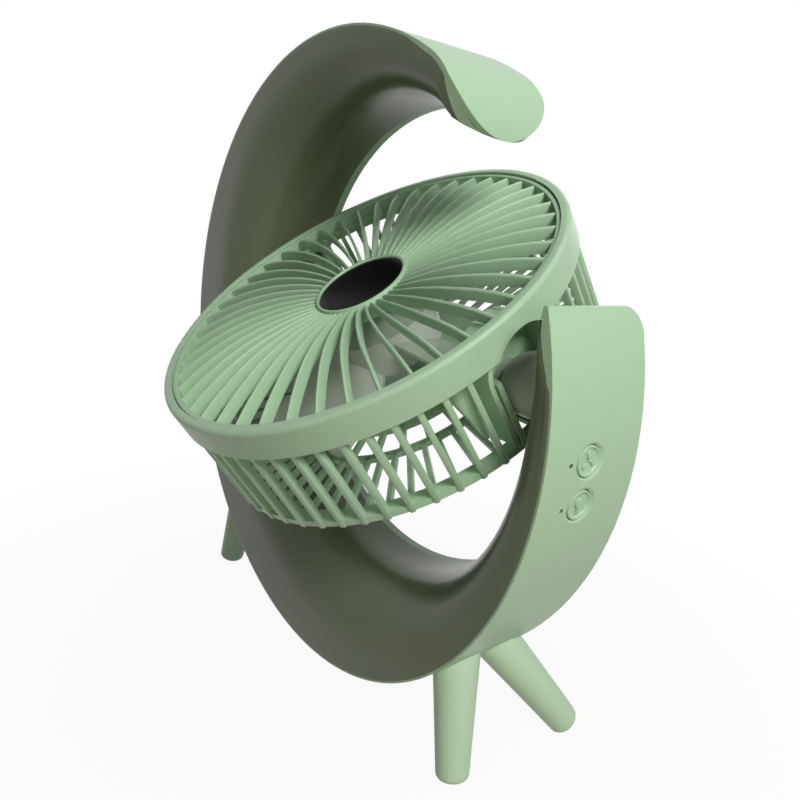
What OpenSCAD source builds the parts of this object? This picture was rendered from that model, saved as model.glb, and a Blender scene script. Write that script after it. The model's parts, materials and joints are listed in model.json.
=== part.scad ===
// Rechargeable table fan: a tilting fan head held inside a crescent-shaped lamp ring on four splayed legs.
// Millimetres, +Z up. The front faces -Y. The origin is on the table, in the middle of the overall
// width and depth, and the head is shown tipped back to head_tilt.

/* [Ring] */
// Outer radius of the ring
ring_r = 140; // [130:1:155]
// Width of the ring from front to back
ring_w = 47; // [44:1:54]
// Gap between the ring and the table
ring_lift = 5.5; // [4:0.5:10]
// Thickness of the ring at its widest, on the left
belly_t = 61; // [56:1:68]
// Thickness of the ring where the right-hand pivot sits
arm_t = 15; // [14:1:18]
// Wall of the coloured shell
shell_wall = 2; // [1.6:0.1:2.6]
// Wall of the light cover
cover_wall = 2.2; // [1.6:0.1:2.8]
// Rounding of the light cover's edge around the hole
cover_round = 9; // [6:0.5:12]
// Depth of the shell's lip around the back of the hole
lip_d = 4; // [3:0.5:6]
// Angle above the horizontal where the upper horn starts to curl in
curl_deg = 62; // [58:1:68]
// Radius of the horn's curl
curl_r = 32; // [28:1:36]
// Height of the right arm's end above the ring's centre
arm_top = 44; // [38:1:50]
// Outward lean of the right arm's inner face
arm_lean = 9; // [7:0.5:9.5]
// Radius of the arm end's rear corner
arm_corner_r = 10; // [6:1:14]

/* [Head] */
// Tilt of the head above facing straight forward
head_tilt = 54; // [30:1:80]
// Height of the tilting axis above the ring's centre
pivot_z = 13; // [8:1:18]
// Distance from the tilting axis to the head's front edge
head_front = 33; // [31:1:36]
// Depth of the whole head
head_d = 51; // [49:1:55]
// Depth of the rim's plain outer band
band_d = 12.5; // [11:0.5:14]
// Smallest gap between the turning head and the ring
hole_gap = 5.2; // [4:0.2:8]
// Depth of the side panel that carries each pivot, below the rim's outer face
panel_depth = 17; // [15:0.5:18.5]
// Radius of the arched opening around each pivot dome
arch_r = 15.5; // [14.5:0.1:16.5]
// Height of the arch's centre above the tilting axis
arch_z = 10; // [6:0.5:11]
// Wall of the arch
arch_wall = 1.8; // [1.4:0.1:2.2]
// Half width of a side panel under the rim
panel_top_w = 28; // [24:1:30]
// Half width of a side panel at the rear
panel_rear_w = 19; // [18.5:0.5:22]

/* [Grille and cage] */
// Number of deep fins in the front grille
fin_count = 47; // [40:1:50]
// Thickness of a fin
fin_t = 1.5; // [1.1:0.1:1.8]
// Depth of a fin
fin_d = 8; // [6:0.5:9]
// Angle of the first fin
fin_turn = -1.6; // [-4:0.1:4]
// Lean of a fin from the radial direction where it leaves the hub
fin_lean = 4.5; // [0:0.5:8]
// Radius of a fin's sweep
fin_arc_r = 326; // [250:2:600]
// Rise of the fins' front edge between the hub and the rim
dish_rise = 4.1; // [2:0.1:5]
// Height of the fins' crest in front of the rim
dish_peak = 2.2; // [1:0.1:3]
// Number of bars around the cage
bar_count = 60; // [48:4:64]
// Width of a cage bar
bar_w = 2.3; // [1.8:0.1:2.8]
// Radius of the ring half-way across the rear grille
mid_ring_r = 57; // [53:1:62]
// Radius of the plate that carries the motor
motor_plate_r = 43; // [40:1:46]

/* [Fan] */
// Number of blades
blade_count = 5; // [3:1:7]
// Pitch of the blades
blade_pitch = 33; // [24:1:38]
// Depth of the blades
blade_d = 20; // [16:1:22]
// Radius of the motor can
motor_r = 20; // [18:0.5:21]
// Height of the motor can
motor_h = 22; // [18:1:23]
// Radius of the motor shaft
motor_shaft_r = 1.5; // [1.2:0.1:2]
// Radius of the round badge
badge_r = 19; // [17:0.5:20]

/* [Pivots] */
// Radius of the domes that carry the head
dome_r = 12; // [10:0.5:12.5]
// Radius of the steel pivot pins
pin_r = 3.5; // [3:0.25:4]

/* [Legs] */
// Angle of a leg's top from straight down
leg_deg = 43.5; // [40:0.5:47]
// Radius of a leg at its top
leg_top_r = 9.4; // [8.5:0.1:10]
// Radius of a leg at its foot
leg_foot_r = 7.5; // [6.5:0.1:8.5]
// Distance of the front legs' tops from the ring's middle plane
front_top_y = 10; // [8:0.5:13]
// Distance of the rear legs' tops from the ring's middle plane
rear_top_y = 13.5; // [10:0.5:14]
// Sideways lean of each front leg, from its top to its foot
front_splay = 7.6; // [4:0.2:14]
// Sideways lean of each rear leg, from its top to its foot
rear_splay = 12.2; // [6:0.2:16]
// Forward distance of the front feet from the ring's middle plane
front_foot_y = 14; // [12:1:30]
// Rearward distance of the rear feet from the ring's middle plane
rear_foot_y = 43; // [26:1:46]
// Depth of the small flat that each foot stands on
foot_flat = 0.7; // [0.3:0.1:1]

/* [Buttons] */
// Drop of the power button below the ring's centre
power_drop = 5.6; // [3:0.2:8]
// Distance from the power button to the lamp button
button_pitch = 15.9; // [15.5:0.1:18]
// Radius of a button's face
button_r = 5.6; // [5:0.1:6]
// How far a button goes in
button_travel = 0.6; // [0.4:0.1:0.8]

/* [Battery] */
// Room on each side of the battery, to the hole's wall and to the lamp strip
battery_gap = 4; // [3:0.5:8]
// Length of a battery cell
cell_l = 65; // [60:1:66]

/* [Hidden] */
$fn = 96;

// Overrun of every cut past the face it leaves
cut = 1;
// Gap between parts that are seated on each other
seat = 0.05;
// Gap along the visible seams
seam = 0.3;

mint = [0.72, 0.88, 0.74];
grey = [0.45, 0.47, 0.44];
pale = [0.93, 0.93, 0.90];
steel = [0.75, 0.76, 0.78];
dark = [0.06, 0.06, 0.07];

// Places that follow from the sizes above
ring_z = ring_r + ring_lift;
hole_r = ring_r - (belly_t + arm_t) / 2;
pivot_x = ring_r - arm_t - hole_r;
lip_t = cover_wall;
far = 2 * ring_r;
front_y = -ring_w / 2;
rear_y = ring_w / 2;
curl_dir = [cos(curl_deg), sin(curl_deg)];
curl_c = (ring_r - curl_r) * curl_dir;
// Where the curl meets the hole, which is the end of the horn
to_hole = [pivot_x, pivot_z] - curl_c;
to_hole_l = norm(to_hole);
along = (pow(curl_r, 2) - pow(hole_r, 2) + pow(to_hole_l, 2)) / (2 * to_hole_l);
across = sqrt(pow(curl_r, 2) - pow(along, 2));
horn_end = curl_c + along * to_hole / to_hole_l + across * [-to_hole[1], to_hole[0]] / to_hole_l;
horn_turn = curl_deg / 2;
// Round part of the hole's edge, from the arm down and round to the horn
hole_turn = 300;
horn_round = ring_w / 2 + seam;
horn_solid = horn_round + shell_wall;
arm_len = (arm_top - pivot_z + hole_r * sin(arm_lean)) / cos(arm_lean) + cut;
// The light cover stops here on the arm, where it has tapered away
cover_end = arm_top - 2 * shell_wall;
// Above this height the arm is solid
solid_z = arm_top - 5 * shell_wall;

// The head's own frame: the tilting axis is X, and +Z comes out of the front grille
rim_r = sqrt(pow(hole_r - hole_gap, 2) - pow(head_front, 2));
head_rear = head_front - head_d;
band_low = head_front - band_d;
rim_lip_w = 3.6;
rim_round = rim_lip_w / 2;
rim_wall = 2.3;
// The head's reach to the front and the back sets the middle of the overall depth
reach_front = (head_front - rim_round) * cos(head_tilt) + (rim_r - rim_round) * sin(head_tilt) + rim_round;
cage_r = rim_r - rim_wall - seat;
bar_r = rim_r - rim_wall / 2;
reach_rear = -head_rear * cos(head_tilt) + bar_r * sin(head_tilt);
ring_y = (reach_front - reach_rear) / 2;

// Frames

module stand() translate([0, ring_y, ring_z]) children();

module head() translate([pivot_x, ring_y, ring_z + pivot_z]) rotate([90 - head_tilt, 0, 0]) children();

// A flat outline in X and Z, given its depth along Y
module prism(y0, y1) translate([0, y1, 0]) rotate([90, 0, 0]) linear_extrude(y1 - y0) children();

// A place on the ring at an angle around it, with X pointing outwards
module around(deg) rotate([0, -deg, 0]) children();

// Ring outlines

module outer_2d(inset) {
    difference() {
        circle(ring_r - inset);
        polygon([[arm_top / tan(curl_deg), arm_top], far * curl_dir, [far, far], [far, arm_top]]);
    }
    translate(curl_c) circle(curl_r - inset);
}

module hole_2d(grow) translate([pivot_x, pivot_z]) {
    circle(hole_r + grow);
    rotate(-arm_lean) square([hole_r + grow, arm_len]);
}

module crescent_2d(inset, grow) difference() {
    outer_2d(inset);
    hole_2d(grow);
}

// The horn's own frame: Z runs back up the horn from its end
module horn() translate([horn_end[0], 0, horn_end[1]]) rotate([0, -horn_turn, 0]) children();

module horn_block(z1) horn() translate([-curl_r, -ring_w, -cut]) cube([2 * curl_r, 2 * ring_w, z1 + cut]);

// What the horn's round end leaves away
module horn_trim() difference() {
    horn_block(horn_round);
    horn() translate([-far, 0, horn_round]) rotate([0, 90, 0]) cylinder(h = 2 * far, r = horn_round);
}

// Solid stretch at the arm's end
module arm_block(z) translate([pivot_x, -ring_w, z]) cube([ring_r, 2 * ring_w, arm_top - z + cut]);

// Rounding of the arm end's rear corner
module arm_trim() difference() {
    translate([pivot_x, rear_y - arm_corner_r, arm_top - arm_corner_r])
        cube([ring_r, arm_corner_r + cut, arm_corner_r + cut]);
    translate([0, rear_y - arm_corner_r, arm_top - arm_corner_r])
        rotate([0, 90, 0]) cylinder(h = far, r = arm_corner_r + seam);
}

// What the rounding around the hole's front edge leaves away, for a surface t inside the cover
module cover_edge_2d(t) difference() {
    translate([hole_r + t - cut, t - cut]) square(cover_round - t + cut);
    translate([hole_r + cover_round, cover_round]) circle(cover_round - t);
}

module cover_edge(t) translate([pivot_x, front_y, pivot_z]) rotate([0, arm_lean, 0]) {
    rotate([-90, 0, 0]) rotate_extrude(angle = hole_turn) cover_edge_2d(t);
    linear_extrude(arm_len) cover_edge_2d(t);
}

// Legs

leg_top_c = ring_r * [sin(leg_deg), -cos(leg_deg)];
leg_drop = ring_z - leg_foot_r + foot_flat;
leg_bore_r = 1.5;
leg_boss_r = 5;
leg_boss_h = 8;
leg_head_r = 3;
leg_head_h = 2;
leg_grip = 14;
// Room left past a screw's tip in its bore
bore_end = 2;

// Stands a leg's children on its axis: Z runs up the leg from the foot's centre to the ring
module leg_frame(foot, top) {
    d = top - foot;
    translate(foot) rotate([0, 0, atan2(d[1], d[0])]) rotate([0, acos(d[2] / norm(d)), 0]) children();
}

function leg_top(side, y) = [side * leg_top_c[0], y, leg_top_c[1]];
function leg_foot(side, splay, y) = [side * (leg_top_c[0] + splay), y, -leg_drop];

module leg(foot, top) {
    l = norm(top - foot);
    color(mint) stand() difference() {
        leg_frame(foot, top) {
            sphere(leg_foot_r);
            cylinder(h = l + leg_top_r, r1 = leg_foot_r, r2 = leg_top_r);
        }
        prism(front_y - ring_w, rear_y + ring_w) circle(ring_r + seat);
        leg_frame(foot, top) translate([0, 0, l - leg_grip])
            cylinder(h = 2 * leg_grip, r = leg_bore_r + seat);
        translate([-far, -far, -ring_z - far]) cube([2 * far, 2 * far, far]);
    }
}

module leg_front_right() leg(leg_foot(1, front_splay, -front_foot_y), leg_top(1, -front_top_y));
module leg_front_left() leg(leg_foot(-1, front_splay, -front_foot_y), leg_top(-1, -front_top_y));
module leg_rear_right() leg(leg_foot(1, rear_splay, rear_foot_y), leg_top(1, rear_top_y));
module leg_rear_left() leg(leg_foot(-1, rear_splay, rear_foot_y), leg_top(-1, rear_top_y));

// Children stand at the top of each leg, with Z running into the ring
module leg_joint(foot, top) leg_frame(foot, top) translate([0, 0, norm(top - foot)]) children();

module each_leg() for (s = [-1, 1]) {
    leg_joint(leg_foot(s, front_splay, -front_foot_y), leg_top(s, -front_top_y)) children();
    leg_joint(leg_foot(s, rear_splay, rear_foot_y), leg_top(s, rear_top_y)) children();
}

module leg_screws() color(steel) stand() each_leg() {
    translate([0, 0, leg_boss_h + seat]) cylinder(h = leg_head_h, r = leg_head_r);
    translate([0, 0, bore_end - leg_grip])
        cylinder(h = leg_grip - bore_end + leg_boss_h + leg_head_h / 2, r = leg_bore_r);
}

// Posts and screws that hold the light cover to the shell

post_r = 4;
post_bore_r = 1.3;
screw_r = 1.25;
screw_head_r = 2.6;
screw_head_h = 1.8;
screw_l = 14;
post_boss_h = 2.5;
post_angles = [104, 143, 246, 288, 318];

function hole_dist(deg) = let (u = [cos(deg), sin(deg)], c = [pivot_x, pivot_z], k = c * u)
    k + sqrt(pow(hole_r, 2) - c * c + pow(k, 2));

strip_w = 6.5;
strip_t = 0.8;
strip_r = ring_r - shell_wall - strip_w - seam;

// Middle of the room between the hole's wall and the lamp strip
function post_dist(deg) = (hole_dist(deg) + cover_wall + strip_r) / 2;

// Stands children at each post, with Z running to the rear from the inside of the back wall
module each_post() for (a = post_angles)
    around(a) translate([post_dist(a), rear_y - shell_wall, 0]) rotate([-90, 0, 0]) children();

module shell_screws() color(steel) stand() each_post() {
    translate([0, 0, shell_wall - screw_head_h - seam]) cylinder(h = screw_head_h, r = screw_head_r);
    translate([0, 0, -screw_l]) cylinder(h = screw_l, r = screw_r);
}

// Buttons, their board and their lights

button_y = -2;
button_flange_w = 1.4;
button_flange_r = button_r + button_flange_w;
button_flange_t = 1.2;
button_stem_r = 1.6;
power_deg = asin(power_drop / ring_r);
lamp_deg = power_deg + 2 * asin(button_pitch / (2 * ring_r));
board_deg = (power_deg + lamp_deg) / 2;
board_gap = 1.3;
board_t = 1.2;
board_l = 32;
board_w = 28;
board_r = ring_r - arm_t + cover_wall + board_gap;
switch_w = 6;
switch_h = 3.4;
// Height of a switch's top, along its button's own direction
switch_top = (board_r + board_t + switch_h) / cos(board_deg - power_deg);
lens_r = 0.8;
lens_y = -11.5;

module button_at(deg) around(-deg) translate([0, button_y, 0]) rotate([0, 90, 0]) children();

module button(deg) {
    flange_top = ring_r - shell_wall - 1.4 * button_travel;
    color(mint) stand() button_at(deg) {
        translate([0, 0, flange_top - button_flange_t]) cylinder(h = button_flange_t, r = button_flange_r);
        translate([0, 0, flange_top - button_flange_t])
            cylinder(h = ring_r - flange_top + button_flange_t - seam, r = button_r);
        translate([0, 0, switch_top + 1.5 * button_travel])
            cylinder(h = flange_top - switch_top - 1.5 * button_travel, r = button_stem_r);
    }
}

module button_power() button(power_deg);
module button_lamp() button(lamp_deg);

module board_frame() around(-board_deg) translate([board_r, button_y, 0]) children();

module button_board() color([0.10, 0.32, 0.18]) stand() board_frame()
    translate([0, -board_w / 2, -board_l / 2]) cube([board_t, board_w, board_l]);

module button_switches() color(dark) stand() for (deg = [power_deg, lamp_deg])
    board_frame() translate([board_t, -switch_w / 2, board_r * tan(board_deg - deg) - switch_w / 2])
        cube([switch_h, switch_w, switch_w]);

module indicator_lenses() color(dark) stand() for (deg = [power_deg, lamp_deg])
    around(-deg) translate([ring_r - shell_wall - seam, lens_y, 0]) rotate([0, 90, 0])
        cylinder(h = shell_wall, r = lens_r, $fn = 32);

// Charging socket in the back wall

socket_deg = -28;
socket_w = 9;
socket_h = 3.4;
socket_d = 7;
socket_wall = 0.5;
socket_flange = 1.2;

module socket_2d(grow) {
    r = socket_h / 2 + grow;
    l = socket_w / 2 - socket_h / 2;
    square([2 * l, 2 * r], center = true);
    for (s = [-1, 1]) translate([s * l, 0]) circle(r, $fn = 48);
}

module socket_frame() around(socket_deg)
    translate([post_dist(socket_deg), rear_y, 0]) rotate([-90, 90, 0]) children();

module charging_socket() color([0.55, 0.56, 0.58]) stand() socket_frame() difference() {
    union() {
        translate([0, 0, -socket_d]) linear_extrude(socket_d - seam) socket_2d(0);
        translate([0, 0, -shell_wall - seat - socket_flange])
            linear_extrude(socket_flange) socket_2d(socket_flange);
    }
    translate([0, 0, -socket_d + socket_wall]) linear_extrude(socket_d) socket_2d(-socket_wall);
}

// Board behind the socket, and the two pegs of the shell that it stands on
board_peg_r = 2;
board_peg_gap = 20;
charge_board_w = 9;

module socket_pegs() socket_frame() for (s = [-1, 1]) translate([s * board_peg_gap / 2, 0, 0]) children();

module charging_board() color([0.10, 0.32, 0.18]) stand() socket_frame()
    translate([-board_peg_gap / 2 - 2 * board_peg_r, -charge_board_w / 2, -socket_d - seat - board_t])
        cube([board_peg_gap + 4 * board_peg_r, charge_board_w, board_t]);

// Ring pieces

module outer_shell() color(mint) stand() difference() {
    union() {
        difference() {
            prism(front_y, rear_y) crescent_2d(0, 0);
            prism(front_y - cut, 0) difference() {
                outer_2d(shell_wall);
                translate([pivot_x, cover_end]) square([ring_r, arm_top - cover_end]);
            }
            difference() {
                union() {
                    prism(-cut, rear_y - lip_d) outer_2d(shell_wall);
                    prism(-cut, rear_y - shell_wall) crescent_2d(shell_wall, lip_t);
                }
                horn_block(horn_solid);
                arm_block(solid_z);
            }
        }
        intersection() {
            each_leg() translate([0, 0, -leg_boss_h]) cylinder(h = 2 * leg_boss_h, r = leg_boss_r);
            prism(front_y, rear_y) circle(ring_r - shell_wall / 2);
        }
        each_post() translate([0, 0, -post_boss_h])
            cylinder(h = post_boss_h + shell_wall / 2, r = post_r + shell_wall / 2);
        socket_pegs() translate([0, 0, -socket_d]) cylinder(h = socket_d - shell_wall / 2, r = board_peg_r);
    }
    horn_trim();
    arm_trim();
    each_leg() translate([0, 0, -leg_grip]) cylinder(h = 3 * leg_grip, r = leg_bore_r + seat);
    each_post() {
        translate([0, 0, -post_boss_h - cut])
            cylinder(h = post_boss_h + shell_wall + 2 * cut, r = screw_r + seat);
        translate([0, 0, shell_wall - screw_head_h - seam - seat])
            cylinder(h = screw_head_h + cut, r = screw_head_r + seat);
    }
    for (deg = [power_deg, lamp_deg]) {
        button_at(deg) translate([0, 0, ring_r - 3 * shell_wall])
            cylinder(h = 4 * shell_wall, r = button_r + seam);
        around(-deg) translate([ring_r - 2 * shell_wall, lens_y, 0]) rotate([0, 90, 0])
            cylinder(h = 3 * shell_wall, r = lens_r + seat, $fn = 32);
    }
    socket_frame() translate([0, 0, -shell_wall - cut]) linear_extrude(shell_wall + 2 * cut) socket_2d(seat);
}

module light_cover() color(grey) stand() difference() {
    union() {
        difference() {
            prism(front_y, rear_y - lip_d - seat) crescent_2d(shell_wall + seam, 0);
            cover_edge(0);
            difference() {
                prism(front_y + cover_wall, rear_y) difference() {
                    circle(far);
                    hole_2d(cover_wall);
                }
                cover_edge(cover_wall);
                horn_block(horn_solid);
                arm_block(solid_z);
            }
            // Nothing behind the middle plane where the shell is solid
            intersection() {
                union() {
                    horn_block(horn_solid + seam);
                    arm_block(solid_z - seam);
                }
                translate([-far, -seat, -far]) cube(2 * far);
            }
        }
        intersection() {
            each_post() translate([0, 0, -ring_w]) cylinder(h = ring_w - post_boss_h - seat, r = post_r);
            prism(front_y + cover_wall / 2, rear_y) circle(ring_r - shell_wall - seam);
        }
    }
    horn_trim();
    arm_block(cover_end - seam);
    each_post() translate([0, 0, -screw_l - bore_end])
        cylinder(h = screw_l + bore_end + cut, r = post_bore_r);
    for (s = [-1, 1]) pivot_side(s) cylinder(h = far, r = pin_r + seat);
}

// Lamp strip on the back wall

strip_start = 82;
strip_end = 332;
led_count = 36;
led_w = 3.2;
led_h = 1.2;

module strip_2d(r, w) difference() {
    circle(r + w);
    circle(r);
    polygon([[0, 0], far * [cos(strip_end), sin(strip_end)], [far, far],
        far * [cos(strip_start), sin(strip_start)]]);
}

module led_strip() color(pale) stand()
    prism(rear_y - shell_wall - seat - strip_t, rear_y - shell_wall - seat) strip_2d(strip_r, strip_w);

module led_chips() color([1, 0.95, 0.75]) stand() for (k = [0:led_count - 1])
    around(strip_start + (k + 0.5) * (strip_end - strip_start) / led_count)
        translate([strip_r + strip_w / 2, rear_y - shell_wall - seat - strip_t - led_h / 2, 0])
            cube([led_w, led_h, led_w], center = true);

// Battery in the thick side of the ring

tray_wall = 1.6;
battery_deg = 206;
tray_l = cell_l + 2 * tray_wall + 2 * seam;
// Reach of the hole's wall and of the lamp strip along the middle of the battery
battery_in = pivot_x * cos(battery_deg) + pivot_z * sin(battery_deg) + hole_r + cover_wall;
battery_out = sqrt(pow(strip_r, 2) - pow(tray_l / 2, 2));
battery_r = (battery_in + battery_out) / 2;
// Two cells side by side take the room between them, less the tray's three walls
cell_r = (battery_out - battery_in - 2 * battery_gap - 2.5 * tray_wall) / 4;
cell_pitch = 2 * cell_r + tray_wall / 2;
cell_y = rear_y - shell_wall - seat - tray_wall - cell_r;

module battery_frame() around(battery_deg) translate([battery_r, cell_y, 0]) children();

module battery_cells() color([0.20, 0.42, 0.62]) stand() battery_frame() for (s = [-1, 1])
    translate([s * cell_pitch / 2, 0, -cell_l / 2]) cylinder(h = cell_l, r = cell_r);

module battery_tray() color([0.16, 0.16, 0.17]) stand() battery_frame() difference() {
    w = cell_pitch + 2 * cell_r + 2 * tray_wall;
    translate([-w / 2, -cell_r / 3, -tray_l / 2]) cube([w, cell_r + cell_r / 3 + tray_wall, tray_l]);
    for (s = [-1, 1]) translate([s * cell_pitch / 2, 0, -cell_l / 2 - seam]) {
        cylinder(h = cell_l + 2 * seam, r = cell_r + seat);
        translate([-cell_r - seat, -cell_r, 0]) cube([2 * (cell_r + seat), cell_r, cell_l + 2 * seam]);
    }
}

// Pivots

panel_t = 2.5;
panel_out = rim_r - panel_depth;
panel_in = panel_out - panel_t;
dome_gap = 1.5;
dome_tip = panel_out + dome_gap;
dome_clear = 0.9;
pin_head_r = 5.5;
pin_head_h = 3;
pin_in = 3.4;
pin_end = panel_in - pin_in;
bush_wall = 2;
bush_r = pin_r + bush_wall;
bush_flange_w = 1.6;
bush_flange_r = bush_r + bush_flange_w;
bush_flange_t = 1;
clip_t = 1;
clip_w = 2.9;
clip_inset = 1;
clip_groove_d = 0.7;
clip_groove_r = pin_r - clip_groove_d;
clip_r = clip_groove_r + clip_w;

// Children stand on the tilting axis, with Z pointing out to one side
module pivot_side(s) translate([pivot_x, 0, pivot_z]) rotate([0, s * 90, 0]) children();

module pivot_dome(s) color([0.80, 0.83, 0.80]) stand() difference() {
    intersection() {
        pivot_side(s) translate([0, 0, dome_tip + dome_r]) {
            sphere(dome_r);
            cylinder(h = hole_r, r = dome_r);
        }
        prism(front_y, rear_y) hole_2d(-seat);
    }
    pivot_side(s) cylinder(h = far, r = pin_r + seat);
}

module pivot_dome_right() pivot_dome(1);
module pivot_dome_left() pivot_dome(-1);

// A pin's head lies inside the ring, behind the wall that its dome stands on
module pivot_pin(s, head_at) color(steel) stand() pivot_side(s) difference() {
    union() {
        translate([0, 0, pin_end]) cylinder(h = head_at - pin_end + pin_head_h / 2, r = pin_r);
        translate([0, 0, head_at]) cylinder(h = pin_head_h, r = pin_head_r);
    }
    translate([0, 0, pin_end + clip_inset]) difference() {
        cylinder(h = clip_t + 2 * seat, r = 2 * pin_r);
        translate([0, 0, -cut]) cylinder(h = clip_t + 3 * cut, r = clip_groove_r);
    }
}

module pivot_pin_right()
    pivot_pin(1, (hole_r + cover_wall) / cos(arm_lean) + pin_head_r * tan(arm_lean) + seat);
module pivot_pin_left() pivot_pin(-1, hole_r + cover_wall + seat);

// Retaining ring on each pin, inside the head
module retaining_rings() color(steel) stand() for (s = [-1, 1])
    pivot_side(s) translate([0, 0, pin_end + clip_inset + seat]) difference() {
        cylinder(h = clip_t, r = clip_r);
        translate([0, 0, -cut]) cylinder(h = clip_t + 2 * cut, r = clip_groove_r + seat);
    }

module head_side(s) rotate([0, s * 90, 0]) children();

module pivot_bush(s) color([0.85, 0.72, 0.45]) head() head_side(s) difference() {
    union() {
        translate([0, 0, panel_in]) cylinder(h = panel_t + bush_flange_t, r = bush_r);
        translate([0, 0, panel_out + seat]) cylinder(h = bush_flange_t - seat, r = bush_flange_r);
    }
    translate([0, 0, panel_in - cut]) cylinder(h = panel_t + bush_flange_t + 2 * cut, r = pin_r + seat);
}

module pivot_bush_right() pivot_bush(1);
module pivot_bush_left() pivot_bush(-1);

// Side panel with the arched channel that the dome sits in
rear_t = 2.6;
rear_ring_w = 5.8;
rear_ring_h = 3.2;
cage_top_h = 4;
grille_base = band_low + cage_top_h + rim_wall;
panel_low = head_rear + rear_ring_h + seat;

// Arch in the plane across the tilting axis, drawn with X to the front of the head
module arch_2d(grow) {
    translate([arch_z, 0]) circle(arch_r + grow);
    translate([arch_z - head_d, -arch_r - grow]) square([head_d, 2 * (arch_r + grow)]);
}

// Turns a flat outline (X to the front of the head) so that it runs out to one side from x0 to x1
module side_prism(s, x0, x1) translate([s > 0 ? x0 : -x1, 0, 0]) rotate([90, 0, 90]) rotate([0, 0, 90])
    mirror([0, 1, 0]) linear_extrude(x1 - x0) children();

module side_panel(s) color(mint) head() difference() {
    union() {
        side_prism(s, panel_in, panel_out) polygon([
            [panel_low, -panel_rear_w], [band_low - seat, -panel_top_w],
            [band_low - seat, panel_top_w], [panel_low, panel_rear_w]]);
        intersection() {
            side_prism(s, panel_in, rim_r) difference() {
                arch_2d(arch_wall);
                arch_2d(0);
            }
            translate([0, 0, panel_low]) cylinder(h = grille_base - seat - panel_low, r = cage_r - seat);
        }
        // Crown of the arch's back wall, above the panel
        intersection() {
            side_prism(s, panel_in, panel_out) arch_2d(arch_wall);
            translate([0, 0, panel_low]) cylinder(h = grille_base - seat - panel_low, r = rim_r);
        }
    }
    head_side(s) cylinder(h = rim_r, r = bush_r + seat);
}

module side_panel_right() side_panel(1);
module side_panel_left() side_panel(-1);

// Head rim, grille and badge

grille_out_r = rim_r - rim_lip_w - seam;
grille_ring_w = 2;
hub_wall = 1.4;
hub_r = badge_r + seam + hub_wall;
badge_t = 2.4;
badge_drop = 0.3;
badge_edge = 0.6;
ledge_r = grille_out_r - grille_ring_w - rim_wall / 2;

module rim_2d() difference() {
    union() {
        translate([rim_r - rim_lip_w, band_low]) square([rim_lip_w - rim_round, band_d]);
        translate([rim_r - rim_lip_w, band_low]) square([rim_lip_w, band_d - rim_round]);
        translate([rim_r - rim_round, head_front - rim_round]) circle(rim_round, $fn = 48);
        // Ledge under the grille
        translate([ledge_r, band_low + cage_top_h + seat])
            square([rim_r - rim_lip_w / 2 - ledge_r, rim_wall - 2 * seat]);
    }
    // Step that the cage's top ring sits in
    translate([0, band_low - cut]) square([cage_r + seat, cage_top_h + cut + seat]);
}

module head_rim() color(mint) head() difference() {
    rotate_extrude() rim_2d();
    for (s = [-1, 1]) {
        side_prism(s, panel_in, rim_r + cut) arch_2d(0);
        intersection() {
            side_prism(s, panel_in - cut, rim_r) arch_2d(arch_wall + seat);
            translate([0, 0, band_low - cut]) cylinder(h = band_d, r = cage_r);
        }
    }
}

// Front surface of the fins: one arc from the hub over to the rim
dish_mid = (hub_r + grille_out_r) / 2;
dish_half = (grille_out_r - hub_r) / 2;
dish_arc = (pow(dish_half, 2) + pow(dish_rise, 2)) / (2 * dish_rise);
dish_top = head_front + dish_peak;
hub_top = dish_top - dish_rise + seam;
fin_low = hub_top - fin_d;

module dish_2d() intersection() {
    translate([dish_mid, dish_top - dish_arc]) circle(dish_arc, $fn = 256);
    polygon([[hub_r - hub_wall / 2, fin_low], [ledge_r - fin_d / 2, fin_low], [ledge_r - seam, grille_base],
        [grille_out_r - grille_ring_w / 2, grille_base],
        [grille_out_r - grille_ring_w / 2, head_front + head_d],
        [hub_r - hub_wall / 2, head_front + head_d]]);
}

// One fin in plan: a thin arc from the hub to the rim
module fin_2d() intersection() {
    translate([hub_r - fin_arc_r * sin(fin_lean), fin_arc_r * cos(fin_lean)])
        ring_2d(fin_arc_r + fin_t / 2, fin_t, 720);
    translate([hub_r - hub_wall, -hub_r]) square([grille_out_r, 2 * hub_r]);
}

module front_grille() color(mint) head() {
    difference() {
        intersection() {
            translate([0, 0, fin_low - cut]) linear_extrude(head_d)
                for (k = [0:fin_count - 1]) rotate(fin_turn + k * 360 / fin_count) fin_2d();
            rotate_extrude() dish_2d();
        }
        for (s = [-1, 1]) side_prism(s, panel_in - seam, rim_r) arch_2d(arch_wall + seam);
    }
    translate([0, 0, grille_base]) linear_extrude(head_front - dish_rise / 4 - grille_base)
        ring_2d(grille_out_r, grille_ring_w, 96);
    difference() {
        translate([0, 0, fin_low - seam]) cylinder(h = hub_top - fin_low + seam, r = hub_r);
        translate([0, 0, hub_top - badge_drop - badge_t - seat]) cylinder(h = head_d, r = badge_r + seam);
    }
}

module badge_disc() color(dark) head() translate([0, 0, hub_top - badge_drop - badge_t]) {
    cylinder(h = badge_t - badge_edge, r = badge_r);
    translate([0, 0, badge_t - badge_edge]) cylinder(h = badge_edge, r1 = badge_r, r2 = badge_r - badge_edge);
}

// Rear cage

bar_l = 3;
// How far the bars stand out of the rear ring
bar_proud = 0.6;
rib_w = 2;
mid_ring_w = 2.8;
bar_step = 360 / bar_count;
rear_ring_r = bar_r - bar_proud;

module ring_2d(r, w, n) difference() {
    circle(r, $fn = n);
    circle(r - w, $fn = n);
}

module rays_2d(n, step, r0, r1, w) for (k = [0:n - 1])
    rotate((k + 0.5) * step) translate([r0, -w / 2]) square([r1 - r0, w]);

// Strip across the head that the domes and their arches turn in
module side_strip_2d(half) translate([-far, -half]) square([2 * far, 2 * half]);

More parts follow.
